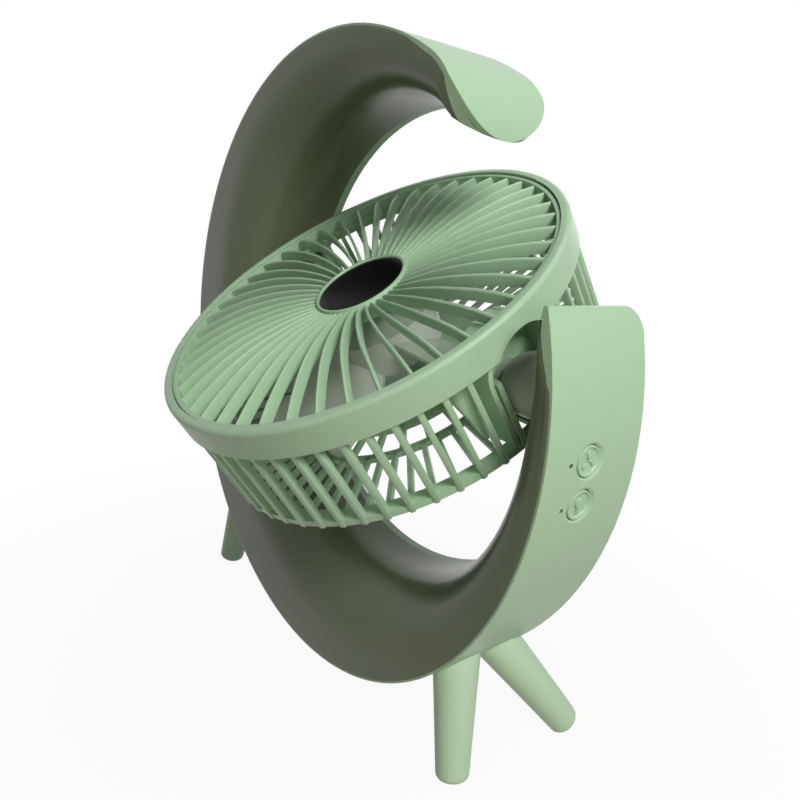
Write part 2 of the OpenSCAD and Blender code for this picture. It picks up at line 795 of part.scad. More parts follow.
module rear_cage() color(mint) head() {
    // Bars, which stop at the arches where they meet them
    difference() {
        translate([0, 0, head_rear]) linear_extrude(band_low - seat - head_rear) difference() {
            rays_2d(bar_count, bar_step, bar_r - bar_l, bar_r, bar_w);
            side_strip_2d(dome_r + dome_clear);
        }
        for (s = [-1, 1]) side_prism(s, panel_out, far) difference() {
            union() {
                arch_2d(arch_wall + seat);
                translate([arch_z, -arch_r - arch_wall]) square([head_d, 2 * (arch_r + arch_wall)]);
            }
            arch_2d(-seat);
        }
    }
    // Ring inside the rim, on the bars' tops
    translate([0, 0, band_low - bar_l / 2]) linear_extrude(cage_top_h + bar_l / 2) difference() {
        ring_2d(cage_r, bar_l, 96);
        side_strip_2d(arch_r + arch_wall + seam);
    }
    // Rear ring
    translate([0, 0, head_rear]) linear_extrude(rear_ring_h) ring_2d(rear_ring_r, rear_ring_w, 96);
    // Rear face
    translate([0, 0, head_rear]) linear_extrude(rear_t) {
        rays_2d(bar_count, bar_step, mid_ring_r, rear_ring_r - rear_ring_w / 2, rib_w);
        rays_2d(bar_count / 2, 2 * bar_step, motor_plate_r - rib_w, mid_ring_r, rib_w);
        ring_2d(mid_ring_r + mid_ring_w / 2, mid_ring_w, 96);
        difference() {
            circle(motor_plate_r);
            motor_screw_places() circle(motor_screw_r + seat, $fn = 32);
        }
    }
}

// Motor and fan

motor_z = head_rear + rear_t + seat;
motor_screw_r = 1.2;
motor_screw_head_r = 2.2;
motor_screw_head_h = 1.4;
motor_screw_l = 4;
motor_pcd_r = motor_r * 0.65;
bearing_r = 4;
bearing_t = 3;
motor_nose_h = 2;
motor_nose_wall = 2;
can_t = 1;
bearing_low = motor_z + can_t;
bearing_high = motor_z + motor_h + motor_nose_h - bearing_t;

module motor_screw_places() for (k = [0:2]) rotate(120 * k + 30) translate([motor_pcd_r, 0]) children();

module motor_can() color([0.62, 0.63, 0.65]) head() difference() {
    translate([0, 0, motor_z]) {
        cylinder(h = motor_h, r = motor_r);
        cylinder(h = motor_h + motor_nose_h, r = bearing_r + motor_nose_wall);
    }
    translate([0, 0, bearing_low]) cylinder(h = far, r = motor_shaft_r + 2 * seat);
    translate([0, 0, bearing_low]) cylinder(h = bearing_t + seat, r = bearing_r + seat);
    translate([0, 0, bearing_high]) cylinder(h = bearing_t + cut, r = bearing_r + seat);
    motor_screw_places() translate([0, 0, motor_z - cut])
        cylinder(h = motor_screw_l + bore_end / 2 + cut, r = motor_screw_r + seat);
}

module motor_bearings() color(steel) head()
    for (z = [bearing_low, bearing_high])
        translate([0, 0, z + seat]) difference() {
            cylinder(h = bearing_t - seat, r = bearing_r);
            translate([0, 0, -cut]) cylinder(h = bearing_t + 2 * cut, r = motor_shaft_r + seat);
        }

module motor_screws() color(steel) head() motor_screw_places() {
    translate([0, 0, head_rear - seat - motor_screw_head_h])
        cylinder(h = motor_screw_head_h, r = motor_screw_head_r);
    translate([0, 0, head_rear - seat - motor_screw_head_h / 2])
        cylinder(h = motor_screw_head_h / 2 + rear_t + motor_screw_l, r = motor_screw_r);
}

hub_gap = 1.6;
hub_side = 2.4;
hub_top_t = 2;
boss_r = 4;
boss_h = 4;
boss_gap = 1;
can_top = motor_z + motor_h + motor_nose_h;
fan_hub_r = motor_r + hub_gap + hub_side;
fan_hub_top = can_top + boss_gap + boss_h;
fan_hub_h = 16;
blade_gap = 3;
blade_r = pin_end - blade_gap;
blade_t = 1.8;
blade_bow_r = 60;
// Plan of a blade at its root and tip, each side of the blade's own radius
blade_root_front = 9;
blade_root_back = 10;
blade_tip_front = 24;
blade_tip_back = 17;

module motor_shaft() color(steel) head() translate([0, 0, bearing_low + 2 * seat])
    cylinder(h = fan_hub_top - hub_top_t - bearing_low, r = motor_shaft_r);

// A pitched, hollowed blade along X
module blade() intersection() {
    translate([0, 0, fan_hub_top - blade_d]) linear_extrude(blade_d) difference() {
        intersection() {
            circle(blade_r);
            polygon([[fan_hub_r - hub_side, -blade_root_back], [blade_r + hub_side, -blade_tip_back],
                [blade_r + hub_side, blade_tip_front], [fan_hub_r - hub_side, blade_root_front]]);
        }
        circle(fan_hub_r - hub_side / 2);
    }
    translate([0, 0, fan_hub_top - blade_d / 2]) rotate([-blade_pitch, 0, 0]) translate([0, 0, -blade_bow_r])
        rotate([0, 90, 0]) difference() {
            cylinder(h = far, r = blade_bow_r + blade_t);
            translate([0, 0, -cut]) cylinder(h = far + 2 * cut, r = blade_bow_r);
        }
}

module impeller() color([0.62, 0.66, 0.62, 0.7]) head() {
    difference() {
        union() {
            translate([0, 0, fan_hub_top - fan_hub_h]) difference() {
                cylinder(h = fan_hub_h, r = fan_hub_r);
                translate([0, 0, -cut]) cylinder(h = fan_hub_h + cut - hub_top_t, r = motor_r + hub_gap);
            }
            translate([0, 0, fan_hub_top - boss_h]) cylinder(h = boss_h - hub_top_t / 2, r = boss_r);
        }
        translate([0, 0, fan_hub_top - fan_hub_h]) cylinder(h = 2 * fan_hub_h, r = motor_shaft_r);
    }
    for (k = [0:blade_count - 1]) rotate(k * 360 / blade_count) blade();
}

outer_shell();
light_cover();
leg_front_right();
leg_front_left();
leg_rear_right();
leg_rear_left();
leg_screws();
shell_screws();
led_strip();
led_chips();
battery_cells();
battery_tray();
button_board();
button_switches();
charging_board();
charging_socket();
indicator_lenses();
pivot_dome_right();
pivot_dome_left();
pivot_pin_right();
pivot_pin_left();
button_power();
button_lamp();
head_rim();
front_grille();
badge_disc();
rear_cage();
side_panel_right();
side_panel_left();
pivot_bush_right();
pivot_bush_left();
retaining_rings();
motor_can();
motor_bearings();
motor_screws();
motor_shaft();
impeller();
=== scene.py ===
import json
from contextlib import contextmanager
from math import atan2, cos, hypot, pi, radians, sin, sqrt

import bmesh
import bpy
from mathutils import Matrix, Vector


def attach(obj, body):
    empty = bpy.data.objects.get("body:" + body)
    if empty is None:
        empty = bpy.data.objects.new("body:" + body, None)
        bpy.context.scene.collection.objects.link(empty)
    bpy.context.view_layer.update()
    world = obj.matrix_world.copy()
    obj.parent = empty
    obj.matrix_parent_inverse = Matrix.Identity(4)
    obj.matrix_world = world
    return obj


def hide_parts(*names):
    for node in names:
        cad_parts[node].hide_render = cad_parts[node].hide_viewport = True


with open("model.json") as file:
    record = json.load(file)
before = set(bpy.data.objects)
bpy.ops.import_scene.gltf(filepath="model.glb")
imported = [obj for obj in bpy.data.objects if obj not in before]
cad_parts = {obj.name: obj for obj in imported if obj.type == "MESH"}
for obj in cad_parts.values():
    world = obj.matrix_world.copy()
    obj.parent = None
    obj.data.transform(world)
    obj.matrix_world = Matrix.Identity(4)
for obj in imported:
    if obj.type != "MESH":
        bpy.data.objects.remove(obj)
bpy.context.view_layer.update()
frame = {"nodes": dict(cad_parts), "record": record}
print("table fan: frame loaded,", len(frame["nodes"]), "nodes")

mm = 0.001
# places shared by the pieces, in metres: the ring's centre and the head's tilting axis
ringCentre = Vector((0.0, 4.5165 * mm, 145.5 * mm))
headCentre = Vector((23.0 * mm, 4.5165 * mm, 158.5 * mm))
headTilt = radians(54)
ringPlace = Matrix.Translation(ringCentre)
headPlace = Matrix.Translation(headCentre) @ Matrix.Rotation(pi / 2 - headTilt, 4, "X")


# ---- small helpers ----

def newObject(name, data):
    obj = bpy.data.objects.new(name, data)
    bpy.context.scene.collection.objects.link(obj)
    return obj


def feed(tree, value, socket):
    # another node's output is linked, a plain value is set
    if isinstance(value, bpy.types.NodeSocket):
        tree.links.new(value, socket)
    else:
        socket.default_value = value


def addNode(tree, kind, inputs, group=None):
    node = tree.nodes.new(kind)
    if group:
        node.node_tree = group
    for name, value in inputs.items():
        feed(tree, value, node.inputs[name])
    return node


def mathNode(tree, operation, *values, clamp=False):
    node = tree.nodes.new("ShaderNodeMath")
    node.operation, node.use_clamp = operation, clamp
    for value, socket in zip(values, node.inputs):
        feed(tree, value, socket)
    return node.outputs[0]


# ---- camera, lights and floor ----

camera = {
    "offset": (272.306, -180.734, 64.859),  # from the ring's centre, mm
    "around": 49.32, "above": 11.82, "roll": 5.32,  # degrees
    "lens": 31.561, "sensor": 36, "shiftX": -0.0573, "shiftY": -0.0346, "nearest": 0.01,
}


def placeCamera():
    a, e, r = (radians(camera[k]) for k in ("around", "above", "roll"))
    back = Vector((sin(a) * cos(e), -cos(a) * cos(e), sin(e)))
    right = Vector((0, 0, 1)).cross(back).normalized()
    up = back.cross(right)
    turnedRight = right * cos(r) + up * sin(r)
    turnedUp = up * cos(r) - right * sin(r)
    data = bpy.data.cameras.new("photoView")
    data.lens, data.sensor_width = camera["lens"], camera["sensor"]
    data.shift_x, data.shift_y = camera["shiftX"], camera["shiftY"]
    data.clip_start = camera["nearest"]
    obj = newObject("photoView", data)
    turn = Matrix((turnedRight, turnedUp, back)).transposed().to_4x4()
    obj.matrix_world = Matrix.Translation(ringCentre + Vector(camera["offset"]) * mm) @ turn
    bpy.context.scene.camera = obj


studio = {
    "panels": {
        # name: (place m, size m, watts, colour)
        "keyPanel": ((0.66, -0.16, 0.60), 0.26, 4.2, (1.0, 0.99, 0.96)),
        "topPanel": ((0.10, 0.25, 1.25), 0.5, 1.5, (1.0, 1.0, 1.0)),
        "frontPanel": ((1.15, -0.60, 0.28), 0.5, 1.6, (1.0, 1.0, 1.0)),
        "backPanel": ((-0.50, 1.05, 0.50), 0.7, 1.2, (1.0, 1.0, 1.0)),
    },
    "aim": (0, 0, 0.15), "worldLevel": 0.048,
    # the floor's half width and drop, its paint, its least share of white and where that share grows, m
    "floorHalf": 6.0, "floorDrop": 0.0002, "floorPaint": (0.40, 0.35, 0.26), "floorLeast": 0.94,
    "whiteFrom": 0.06, "whiteTo": 0.34,
}


def whiteForCamera(tree, plain):
    # white for what the camera sees, also in reflections and through glass; plain for everything else
    kind = "ShaderNodeBackground" if plain.bl_idname == "ShaderNodeBackground" else "ShaderNodeEmission"
    seen = addNode(tree, kind, {"Color": (1, 1, 1, 1)})
    path = tree.nodes.new("ShaderNodeLightPath")
    total = path.outputs["Is Camera Ray"]
    for other in ("Is Glossy Ray", "Is Transmission Ray"):
        total = mathNode(tree, "ADD", total, path.outputs[other], clamp=True)
    mix = addNode(tree, "ShaderNodeMixShader", {"Fac": total})
    feed(tree, plain.outputs[0], mix.inputs[1])
    feed(tree, seen.outputs[0], mix.inputs[2])
    return mix, total


def lightTheRoom():
    for name, (place, size, watts, colour) in studio["panels"].items():
        data = bpy.data.lights.new(name, "AREA")
        data.shape, data.size, data.energy, data.color = "DISK", size, watts, colour
        obj = newObject(name, data)
        obj.location = place
        obj.rotation_euler = (Vector(studio["aim"]) - Vector(place)).to_track_quat("-Z", "Y").to_euler()
    world = bpy.data.worlds.new("room")
    bpy.context.scene.world = world
    world.use_nodes = True
    tree = world.node_tree
    tree.nodes.clear()
    plain = addNode(tree, "ShaderNodeBackground", {"Color": (1, 1, 1, 1), "Strength": studio["worldLevel"]})
    mix, _ = whiteForCamera(tree, plain)
    addNode(tree, "ShaderNodeOutputWorld", {"Surface": mix.outputs[0]})
    bpy.context.scene.view_settings.view_transform = "Standard"


def layFloor():
    half = studio["floorHalf"]
    mesh = bpy.data.meshes.new("floor")
    corners = ((-half, -half, 0), (half, -half, 0), (half, half, 0), (-half, half, 0))
    mesh.from_pydata(corners, [], [(0, 1, 2, 3)])
    floor = newObject("floor", mesh)
    floor.location.z = -studio["floorDrop"]
    material = bpy.data.materials.new("paleFloor")
    material.use_nodes = True
    tree = material.node_tree
    tree.nodes.clear()
    paint = addNode(tree, "ShaderNodeBsdfDiffuse", {"Color": (*studio["floorPaint"], 1)})
    mix, total = whiteForCamera(tree, paint)
    # near the object the floor keeps a share of its own shade, further out it is plain white
    place = tree.nodes.new("ShaderNodeTexCoord")
    far = tree.nodes.new("ShaderNodeVectorMath")
    far.operation = "LENGTH"
    feed(tree, place.outputs["Object"], far.inputs[0])
    fade = addNode(tree, "ShaderNodeMapRange", {
        "Value": far.outputs["Value"], "From Min": studio["whiteFrom"], "From Max": studio["whiteTo"],
        "To Min": studio["floorLeast"], "To Max": 1.0,
    })
    fade.interpolation_type = "SMOOTHSTEP"
    feed(tree, mathNode(tree, "MULTIPLY", fade.outputs["Result"], total), mix.inputs["Fac"])
    addNode(tree, "ShaderNodeOutputMaterial", {"Surface": mix.outputs[0]})
    floor.data.materials.append(material)


# ---- shader groups ----

def newGroup(name, inputs, outputs):
    group = bpy.data.node_groups.new(name, "ShaderNodeTree")
    for label, kind, value in inputs:
        socket = group.interface.new_socket(label, in_out="INPUT", socket_type="NodeSocket" + kind)
        socket.default_value = value
    for label, kind in outputs:
        group.interface.new_socket(label, in_out="OUTPUT", socket_type="NodeSocket" + kind)
    return group, group.nodes.new("NodeGroupInput"), group.nodes.new("NodeGroupOutput")


def buildMouldedGrain():
    # fine pebbled skin of moulded plastic, with a slow unevenness on top
    group, inn, out = newGroup(
        "mouldedGrain",
        [("Vector", "Vector", (0, 0, 0)), ("Grain Scale", "Float", 2600.0),
         ("Wave Scale", "Float", 16.0), ("Wave Share", "Float", 0.15)],
        [("Height", "Float"), ("Mask", "Float")],
    )
    fine, slow = (addNode(group, "ShaderNodeTexNoise", {
        "Vector": inn.outputs["Vector"], "Scale": inn.outputs[scale], "Detail": detail,
    }) for scale, detail in (("Grain Scale", 2.0), ("Wave Scale", 3.0)))
    mix = addNode(group, "ShaderNodeMix", {
        "Factor": inn.outputs["Wave Share"], "A": fine.outputs[0], "B": slow.outputs[0],
    })
    feed(group, mix.outputs["Result"], out.inputs["Height"])
    feed(group, slow.outputs[0], out.inputs["Mask"])
    return group


def buildTwoTones():
    # one colour drifting softly into another by a mask
    group, inn, out = newGroup(
        "twoTones",
        [("Mask", "Float", 0.5), ("Tone A", "Color", (1, 1, 1, 1)),
         ("Tone B", "Color", (1, 1, 1, 1)), ("Contrast", "Float", 1.1)],
        [("Colour", "Color")],
    )
    half = 0.5  # the mask's middle stays where it is
    spread = mathNode(group, "MULTIPLY", mathNode(group, "SUBTRACT", inn.outputs["Mask"], half),
                      inn.outputs["Contrast"])
    share = mathNode(group, "ADD", spread, half, clamp=True)
    mix = group.nodes.new("ShaderNodeMix")
    mix.data_type = "RGBA"
    for value, index in ((share, 0), (inn.outputs["Tone A"], 6), (inn.outputs["Tone B"], 7)):
        feed(group, value, mix.inputs[index])
    feed(group, mix.outputs[2], out.inputs["Colour"])
    return group


mouldedGrain = buildMouldedGrain()
twoTones = buildTwoTones()


# ---- finishes ----

finishes = {
    # tones: two base colours; rough: least and most roughness; grain: scale of the skin's bumps
    "mint_plastic": {"tones": ((0.412, 0.615, 0.405), (0.446, 0.648, 0.438)), "rough": (0.36, 0.44),
                     "bump": 0.09, "grain": 2600, "subsurface": 0.10, "shine": 0.42},
    "leg_mint": {"tones": ((0.540, 0.750, 0.520), (0.570, 0.780, 0.550)), "rough": (0.38, 0.46),
                 "bump": 0.08, "grain": 2600, "subsurface": 0.12, "shine": 0.4},
    "smoked_cover": {"tones": ((0.132, 0.172, 0.092), (0.150, 0.188, 0.110)), "rough": (0.27, 0.33),
                     "bump": 0.02, "grain": 900, "coat": (0.08, 0.10), "shine": 0.22},
    "pale_plastic": {"tones": ((0.60, 0.63, 0.59), (0.64, 0.67, 0.62)), "rough": (0.34, 0.42),
                     "bump": 0.05, "grain": 2200, "subsurface": 0.3},
    "bush_plastic": {"tones": ((0.40, 0.43, 0.38), (0.44, 0.47, 0.42)), "rough": (0.34, 0.44),
                     "bump": 0.06, "grain": 2500},
    "black_gloss": {"tones": ((0.0025, 0.0025, 0.0028), (0.0035, 0.0035, 0.004)), "rough": (0.20, 0.28),
                    "bump": 0.01, "grain": 1200, "shine": 0.05},
    "smoked_blades": {"tones": ((0.66, 0.71, 0.64), (0.72, 0.77, 0.70)), "rough": (0.16, 0.22),
                      "bump": 0.02, "grain": 900, "alpha": 0.62},
    "dark_lens": {"tones": ((0.02, 0.035, 0.018), (0.03, 0.045, 0.028)), "rough": (0.15, 0.2),
                  "bump": 0.01, "grain": 1500},
    "dark_plastic": {"tones": ((0.030, 0.030, 0.031), (0.038, 0.038, 0.040)), "rough": (0.50, 0.6),
                     "bump": 0.12, "grain": 2000},
    "circuit_board": {"tones": ((0.015, 0.105, 0.04), (0.02, 0.125, 0.05)), "rough": (0.32, 0.4),
                      "bump": 0.05, "grain": 1600},
    "strip_board": {"tones": ((0.74, 0.74, 0.70), (0.78, 0.78, 0.75)), "rough": (0.42, 0.5),
                    "bump": 0.04, "grain": 1600},
    "led_resin": {"tones": ((0.85, 0.62, 0.14), (0.88, 0.68, 0.2)), "rough": (0.22, 0.3),
                  "bump": 0.03, "grain": 2000},
    "cell_sleeve": {"tones": ((0.02, 0.10, 0.32), (0.025, 0.12, 0.36)), "rough": (0.22, 0.3),
                    "bump": 0.04, "grain": 500},
    "socket_metal": {"tones": ((0.50, 0.51, 0.53), (0.56, 0.57, 0.59)), "rough": (0.30, 0.4),
                     "bump": 0.03, "grain": 3000, "metal": 1.0},
    "motor_metal": {"tones": ((0.46, 0.47, 0.49), (0.52, 0.53, 0.55)), "rough": (0.32, 0.42),
                    "bump": 0.05, "grain": 2500, "metal": 1.0},
    "steel": {"tones": ((0.50, 0.51, 0.53), (0.57, 0.58, 0.60)), "rough": (0.26, 0.36),
              "bump": 0.04, "grain": 3000, "metal": 1.0},
}
# shared by all finishes: the part of the mask's range in use, and in metres the bumps' height and the
# depth that light sinks in
surface = {"maskLow": 0.1, "maskHigh": 0.9, "bumpHeight": 0.0002, "sinkDepth": 0.0015}


def makeFinish(name, spec):
    material = bpy.data.materials.new(name + "Finish")
    material.use_nodes = True
    tree = material.node_tree
    place = tree.nodes.new("ShaderNodeTexCoord")
    grain = addNode(tree, "ShaderNodeGroup", {
        "Vector": place.outputs["Object"], "Grain Scale": spec["grain"],
    }, mouldedGrain)
    toneA, toneB = ((*tone, 1) for tone in spec["tones"])
    tones = addNode(tree, "ShaderNodeGroup", {
        "Mask": grain.outputs["Mask"], "Tone A": toneA, "Tone B": toneB,
    }, twoTones)
    least, most = spec["rough"]
    rough = addNode(tree, "ShaderNodeMapRange", {
        "Value": grain.outputs["Mask"], "From Min": surface["maskLow"], "From Max": surface["maskHigh"],
        "To Min": least, "To Max": most,
    })
    bump = addNode(tree, "ShaderNodeBump", {
        "Height": grain.outputs["Height"], "Strength": spec["bump"], "Distance": surface["bumpHeight"],
    })
    values = {"Base Color": tones.outputs["Colour"], "Roughness": rough.outputs["Result"],
              "Normal": bump.outputs["Normal"]}
    for key, label in (("shine", "Specular IOR Level"), ("metal", "Metallic"), ("alpha", "Alpha"),
                       ("subsurface", "Subsurface Weight")):
        if key in spec:
            values[label] = spec[key]
    if "subsurface" in spec:
        values.update({"Subsurface Radius": (1.0, 1.0, 1.0), "Subsurface Scale": surface["sinkDepth"]})
    if "coat" in spec:
        values["Coat Weight"], values["Coat Roughness"] = spec["coat"]
    for label, value in values.items():
        feed(tree, value, tree.nodes["Principled BSDF"].inputs[label])
    return material


materials = {name: makeFinish(name, spec) for name, spec in finishes.items()}
slotOf = {s["node"]: s["material_slot"] for s in frame["record"]["subparts"]}
for node, obj in frame["nodes"].items():
    if not obj.material_slots:
        obj.data.materials.append(None)
    for holder in obj.material_slots:
        holder.material = materials[slotOf[node]]
print("table fan: finishes made,", len(materials))


# ---- helpers for meshes ----

# corners closer than this are one, m; faces flatter to each other than this are one, degrees
mergeGap, cadMergeGap, flatAngle = 1e-7, 2e-6, 0.3
tiny = 0.001  # radius of an outline's end on its axis, mm


def addPiece(name, mesh, slot, body, nodes=(), smooth=None):
    # a finished mesh, in its place at the origin, riding on its body
    if smooth:
        smoothByAngle(mesh, smooth)
    mesh.materials.clear()
    mesh.materials.append(materials[slot])
    obj = newObject(name, mesh)
    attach(obj, body)
    if nodes:
        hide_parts(*nodes)
    return obj


@contextmanager
def editing(mesh, sources):
    # the sources' faces together, open for changes, then written to the mesh
    bm = bmesh.new()
    for source in sources:
        bm.from_mesh(source)
    yield bm
    bm.to_mesh(mesh)
    bm.free()


def smoothByAngle(mesh, degrees):
    mesh.shade_smooth()
    limit = radians(degrees)
    with editing(mesh, [mesh]) as bm:
        for edge in bm.edges:
            edge.smooth = len(edge.link_faces) == 2 and edge.calc_face_angle(0) < limit


def evenShading(mesh, name, degrees):
    # smooth curves whose flat neighbours stay flat
    smoothByAngle(mesh, degrees)
    holder = newObject(name + "Shaded", mesh)
    even = holder.modifiers.new("evenNormals", "WEIGHTED_NORMAL")
    even.mode, even.weight, even.keep_sharp = "FACE_AREA", 100, True
    return bakeMesh(holder, name)


def dress(node, body, name, bevel=0.0, segments=2, degrees=32, cutter=None):
    # merged copy of a CAD node, with softened edges and smooth curves
    mesh = bpy.data.meshes.new(name)
    with editing(mesh, [frame["nodes"][node].data]) as bm:
        bmesh.ops.remove_doubles(bm, verts=bm.verts, dist=cadMergeGap)
        bmesh.ops.dissolve_limit(bm, angle_limit=radians(flatAngle), verts=bm.verts, edges=bm.edges)
    if bevel:
        holder = newObject(name + "Bevelled", mesh)
        if cutter:
            tool = newObject(name + "Cutter", cutter)
            cut = holder.modifiers.new("recesses", "BOOLEAN")
            cut.operation, cut.solver, cut.object = "DIFFERENCE", "EXACT", tool
        soft = holder.modifiers.new("softEdges", "BEVEL")
        soft.width, soft.segments = bevel * mm, segments
        soft.limit_method, soft.angle_limit = "ANGLE", radians(degrees)
        soft.harden_normals = False
        soft.use_clamp_overlap = True
        mesh = bakeMesh(holder, name)
        if cutter:
            bpy.data.objects.remove(tool)
    return addPiece(name, evenShading(mesh, name, degrees), slotOf[node], body, [node])


def bakeMesh(holder, name):
    # the evaluated result of a helper object as a plain mesh; the helper goes
    bpy.context.view_layer.update()
    seen = holder.evaluated_get(bpy.context.evaluated_depsgraph_get())
    mesh = bpy.data.meshes.new_from_object(seen)
    mesh.name = name
    old = holder.data
    bpy.data.objects.remove(holder)
    if old.users == 0:
        bpy.data.meshes.remove(old)
    return mesh


def lathe(profile, steps=160):
    # closed ring from an outline of (radius, height) points
    verts, faces = [], []
    count = len(profile)
    for i in range(steps):
        a = 2 * pi * i / steps
        verts += [(r * mm * cos(a), r * mm * sin(a), z * mm) for r, z in profile]
    for i in range(steps):
        j = (i + 1) % steps
        for k in range(count):
            m = (k + 1) % count
            faces.append((i * count + k, j * count + k, j * count + m, i * count + m))
    return verts, faces


def loft(sections):
    # closed tube through equal outlines, capped at both ends
    count = len(sections[0])
    verts = [tuple(v * mm for v in p) for s in sections for p in s]
    faces = []
    for i in range(len(sections) - 1):
        for k in range(count):
            m = (k + 1) % count
            faces.append((i * count + k, i * count + m, (i + 1) * count + m, (i + 1) * count + k))
    faces.append(tuple(reversed(range(count))))
    faces.append(tuple((len(sections) - 1) * count + k for k in range(count)))
    return verts, faces


def meshFrom(name, parts):
    verts, faces = [], []
    for v, f in parts:
        faces += [tuple(i + len(verts) for i in face) for face in f]
        verts += v
    mesh = bpy.data.meshes.new(name)
    mesh.from_pydata(verts, [], faces)
    with editing(mesh, [mesh]) as bm:
        bmesh.ops.remove_doubles(bm, verts=bm.verts, dist=mergeGap)
        bmesh.ops.recalc_face_normals(bm, faces=bm.faces)
    return mesh


def placed(part, place):
    # a part moved by a matrix
    verts, faces = part
    return [tuple(place @ Vector(v)) for v in verts], faces


def joinMeshes(name, meshes, place):
    joined = bpy.data.meshes.new(name)
    with editing(joined, meshes) as bm:
        bmesh.ops.transform(bm, matrix=place, verts=bm.verts)
    return joined


# ---- geometry nodes: copies around the head's axis ----

def buildRadialCopies():
    tree = bpy.data.node_groups.new("radialCopies", "GeometryNodeTree")
    face = tree.interface
    face.new_socket("Geometry", in_out="INPUT", socket_type="NodeSocketGeometry")
    for label, kind, value in (
        ("Count", "Int", 12), ("First Angle", "Float", 0.0),
        ("Radius", "Float", 0.09), ("Least Offset", "Float", 0.0),
        ("Most Offset", "Float", 1.0),
    ):
        face.new_socket(label, in_out="INPUT", socket_type="NodeSocket" + kind).default_value = value
    face.new_socket("Finish", in_out="INPUT", socket_type="NodeSocketMaterial")
    face.new_socket("Geometry", in_out="OUTPUT", socket_type="NodeSocketGeometry")
    inn, out = tree.nodes.new("NodeGroupInput").outputs, tree.nodes.new("NodeGroupOutput")
    points = addNode(tree, "GeometryNodePoints", {"Count": inn["Count"]})
    index = tree.nodes.new("GeometryNodeInputIndex")
    step = mathNode(tree, "DIVIDE", 2 * pi, inn["Count"])
    angle = mathNode(tree, "MULTIPLY_ADD", index.outputs[0], step, inn["First Angle"])
    # a copy stays where its distance across the tilting axis lies between the two offsets
    across = mathNode(tree, "MULTIPLY", mathNode(tree, "SINE", angle), inn["Radius"])
    offset = mathNode(tree, "ABSOLUTE", across)
    wide = mathNode(tree, "GREATER_THAN", offset, inn["Least Offset"])
    near = mathNode(tree, "LESS_THAN", offset, inn["Most Offset"])
    turn = addNode(tree, "ShaderNodeCombineXYZ", {"Z": angle})
    copies = addNode(tree, "GeometryNodeInstanceOnPoints", {
        "Points": points.outputs[0], "Selection": mathNode(tree, "MULTIPLY", wide, near),
        "Instance": inn["Geometry"], "Rotation": turn.outputs[0],
    })
    real = addNode(tree, "GeometryNodeRealizeInstances", {"Geometry": copies.outputs[0]})
    finish = addNode(tree, "GeometryNodeSetMaterial", {"Geometry": real.outputs[0], "Material": inn["Finish"]})
    feed(tree, finish.outputs[0], out.inputs[0])
    return tree


radialCopies = buildRadialCopies()


def repeatAround(name, mesh, count, firstAngle, radius=90.0, least=-1.0, most=1000.0, slot="mint_plastic"):
    holder = newObject(name + "One", mesh)
    modifier = holder.modifiers.new("around", "NODES")
    modifier.node_group = radialCopies
    values = {
        "Count": count, "First Angle": radians(firstAngle), "Radius": radius * mm,
        "Least Offset": least * mm, "Most Offset": most * mm, "Finish": materials[slot],
    }
    for item in radialCopies.interface.items_tree:
        if item.in_out == "INPUT" and item.name in values:
            modifier[item.identifier] = values[item.name]
    return bakeMesh(holder, name)


# ---- front grille ----

grille = {
    # heights along the head's axis, mm; front: the rim's front edge
    "fins": 47, "firstAngle": -1.6, "front": 33.0, "depth": 5.2,
    # (radius, height above the rim's front edge, plan angle in degrees) along a fin's crest
    "crest": ((20.0, -2.9, -0.1), (24.0, -1.7, 0.4), (29.0, -0.6, 1.1), (37.0, 0.8, 2.3), (45.0, 1.7, 3.4),
              (54.0, 2.2, 4.5), (62.0, 2.0, 5.5), (69.0, 1.5, 6.4), (77.0, 0.4, 7.1), (83.0, -0.9, 7.5),
              (86.4, -1.7, 7.7)),
    "betweenCrest": 3, "thickHub": 1.1, "thickRim": 1.6, "hubR": 20.0, "thickOver": 66.0,
    # shares of half the thickness: half widths at a fin's root and shoulders, and the shoulders' drop
    "rootShare": 0.8, "shoulderShare": 0.72, "shoulderDrop": 0.36,
    # outside this radius a fin reaches down to the outer ring's foot
    "deepFrom": 79.0, "deepLow": 27.2,
    # outer ring: inner and outer radius, foot, height under the front, softened corner
    "outerRing": (85.15, 87.05, 26.85, 1.05, 0.25),
    # hub ring round the badge, and the disc under it
    "hubRing": ((19.35, -6.0), (20.7, -8.6), (20.7, -2.0), (20.45, -1.7), (19.6, -1.7), (19.35, -2.0)),
    "discR": 20.4, "discHeights": (23.2, 27.0), "hubSteps": 96,
}


def finSection(r, top, angle, thick, low):
    # rounded-top section across a fin, at one radius
    g = grille
    a = radians(angle)
    across = Vector((-sin(a), cos(a), 0))
    spot = Vector((r * cos(a), r * sin(a), 0))
    half = thick / 2
    root, shoulder, drop = half * g["rootShare"], half * g["shoulderShare"], half * g["shoulderDrop"]
    outline = [(-root, low), (root, low), (half, top - half), (shoulder, top - drop), (0, top),
               (-shoulder, top - drop), (-half, top - half)]
    return [tuple(spot + across * s + Vector((0, 0, z))) for s, z in outline]


def grilleUnderside(r, top):
    low = top - grille["depth"]
    return min(low, grille["deepLow"]) if r > grille["deepFrom"] else low


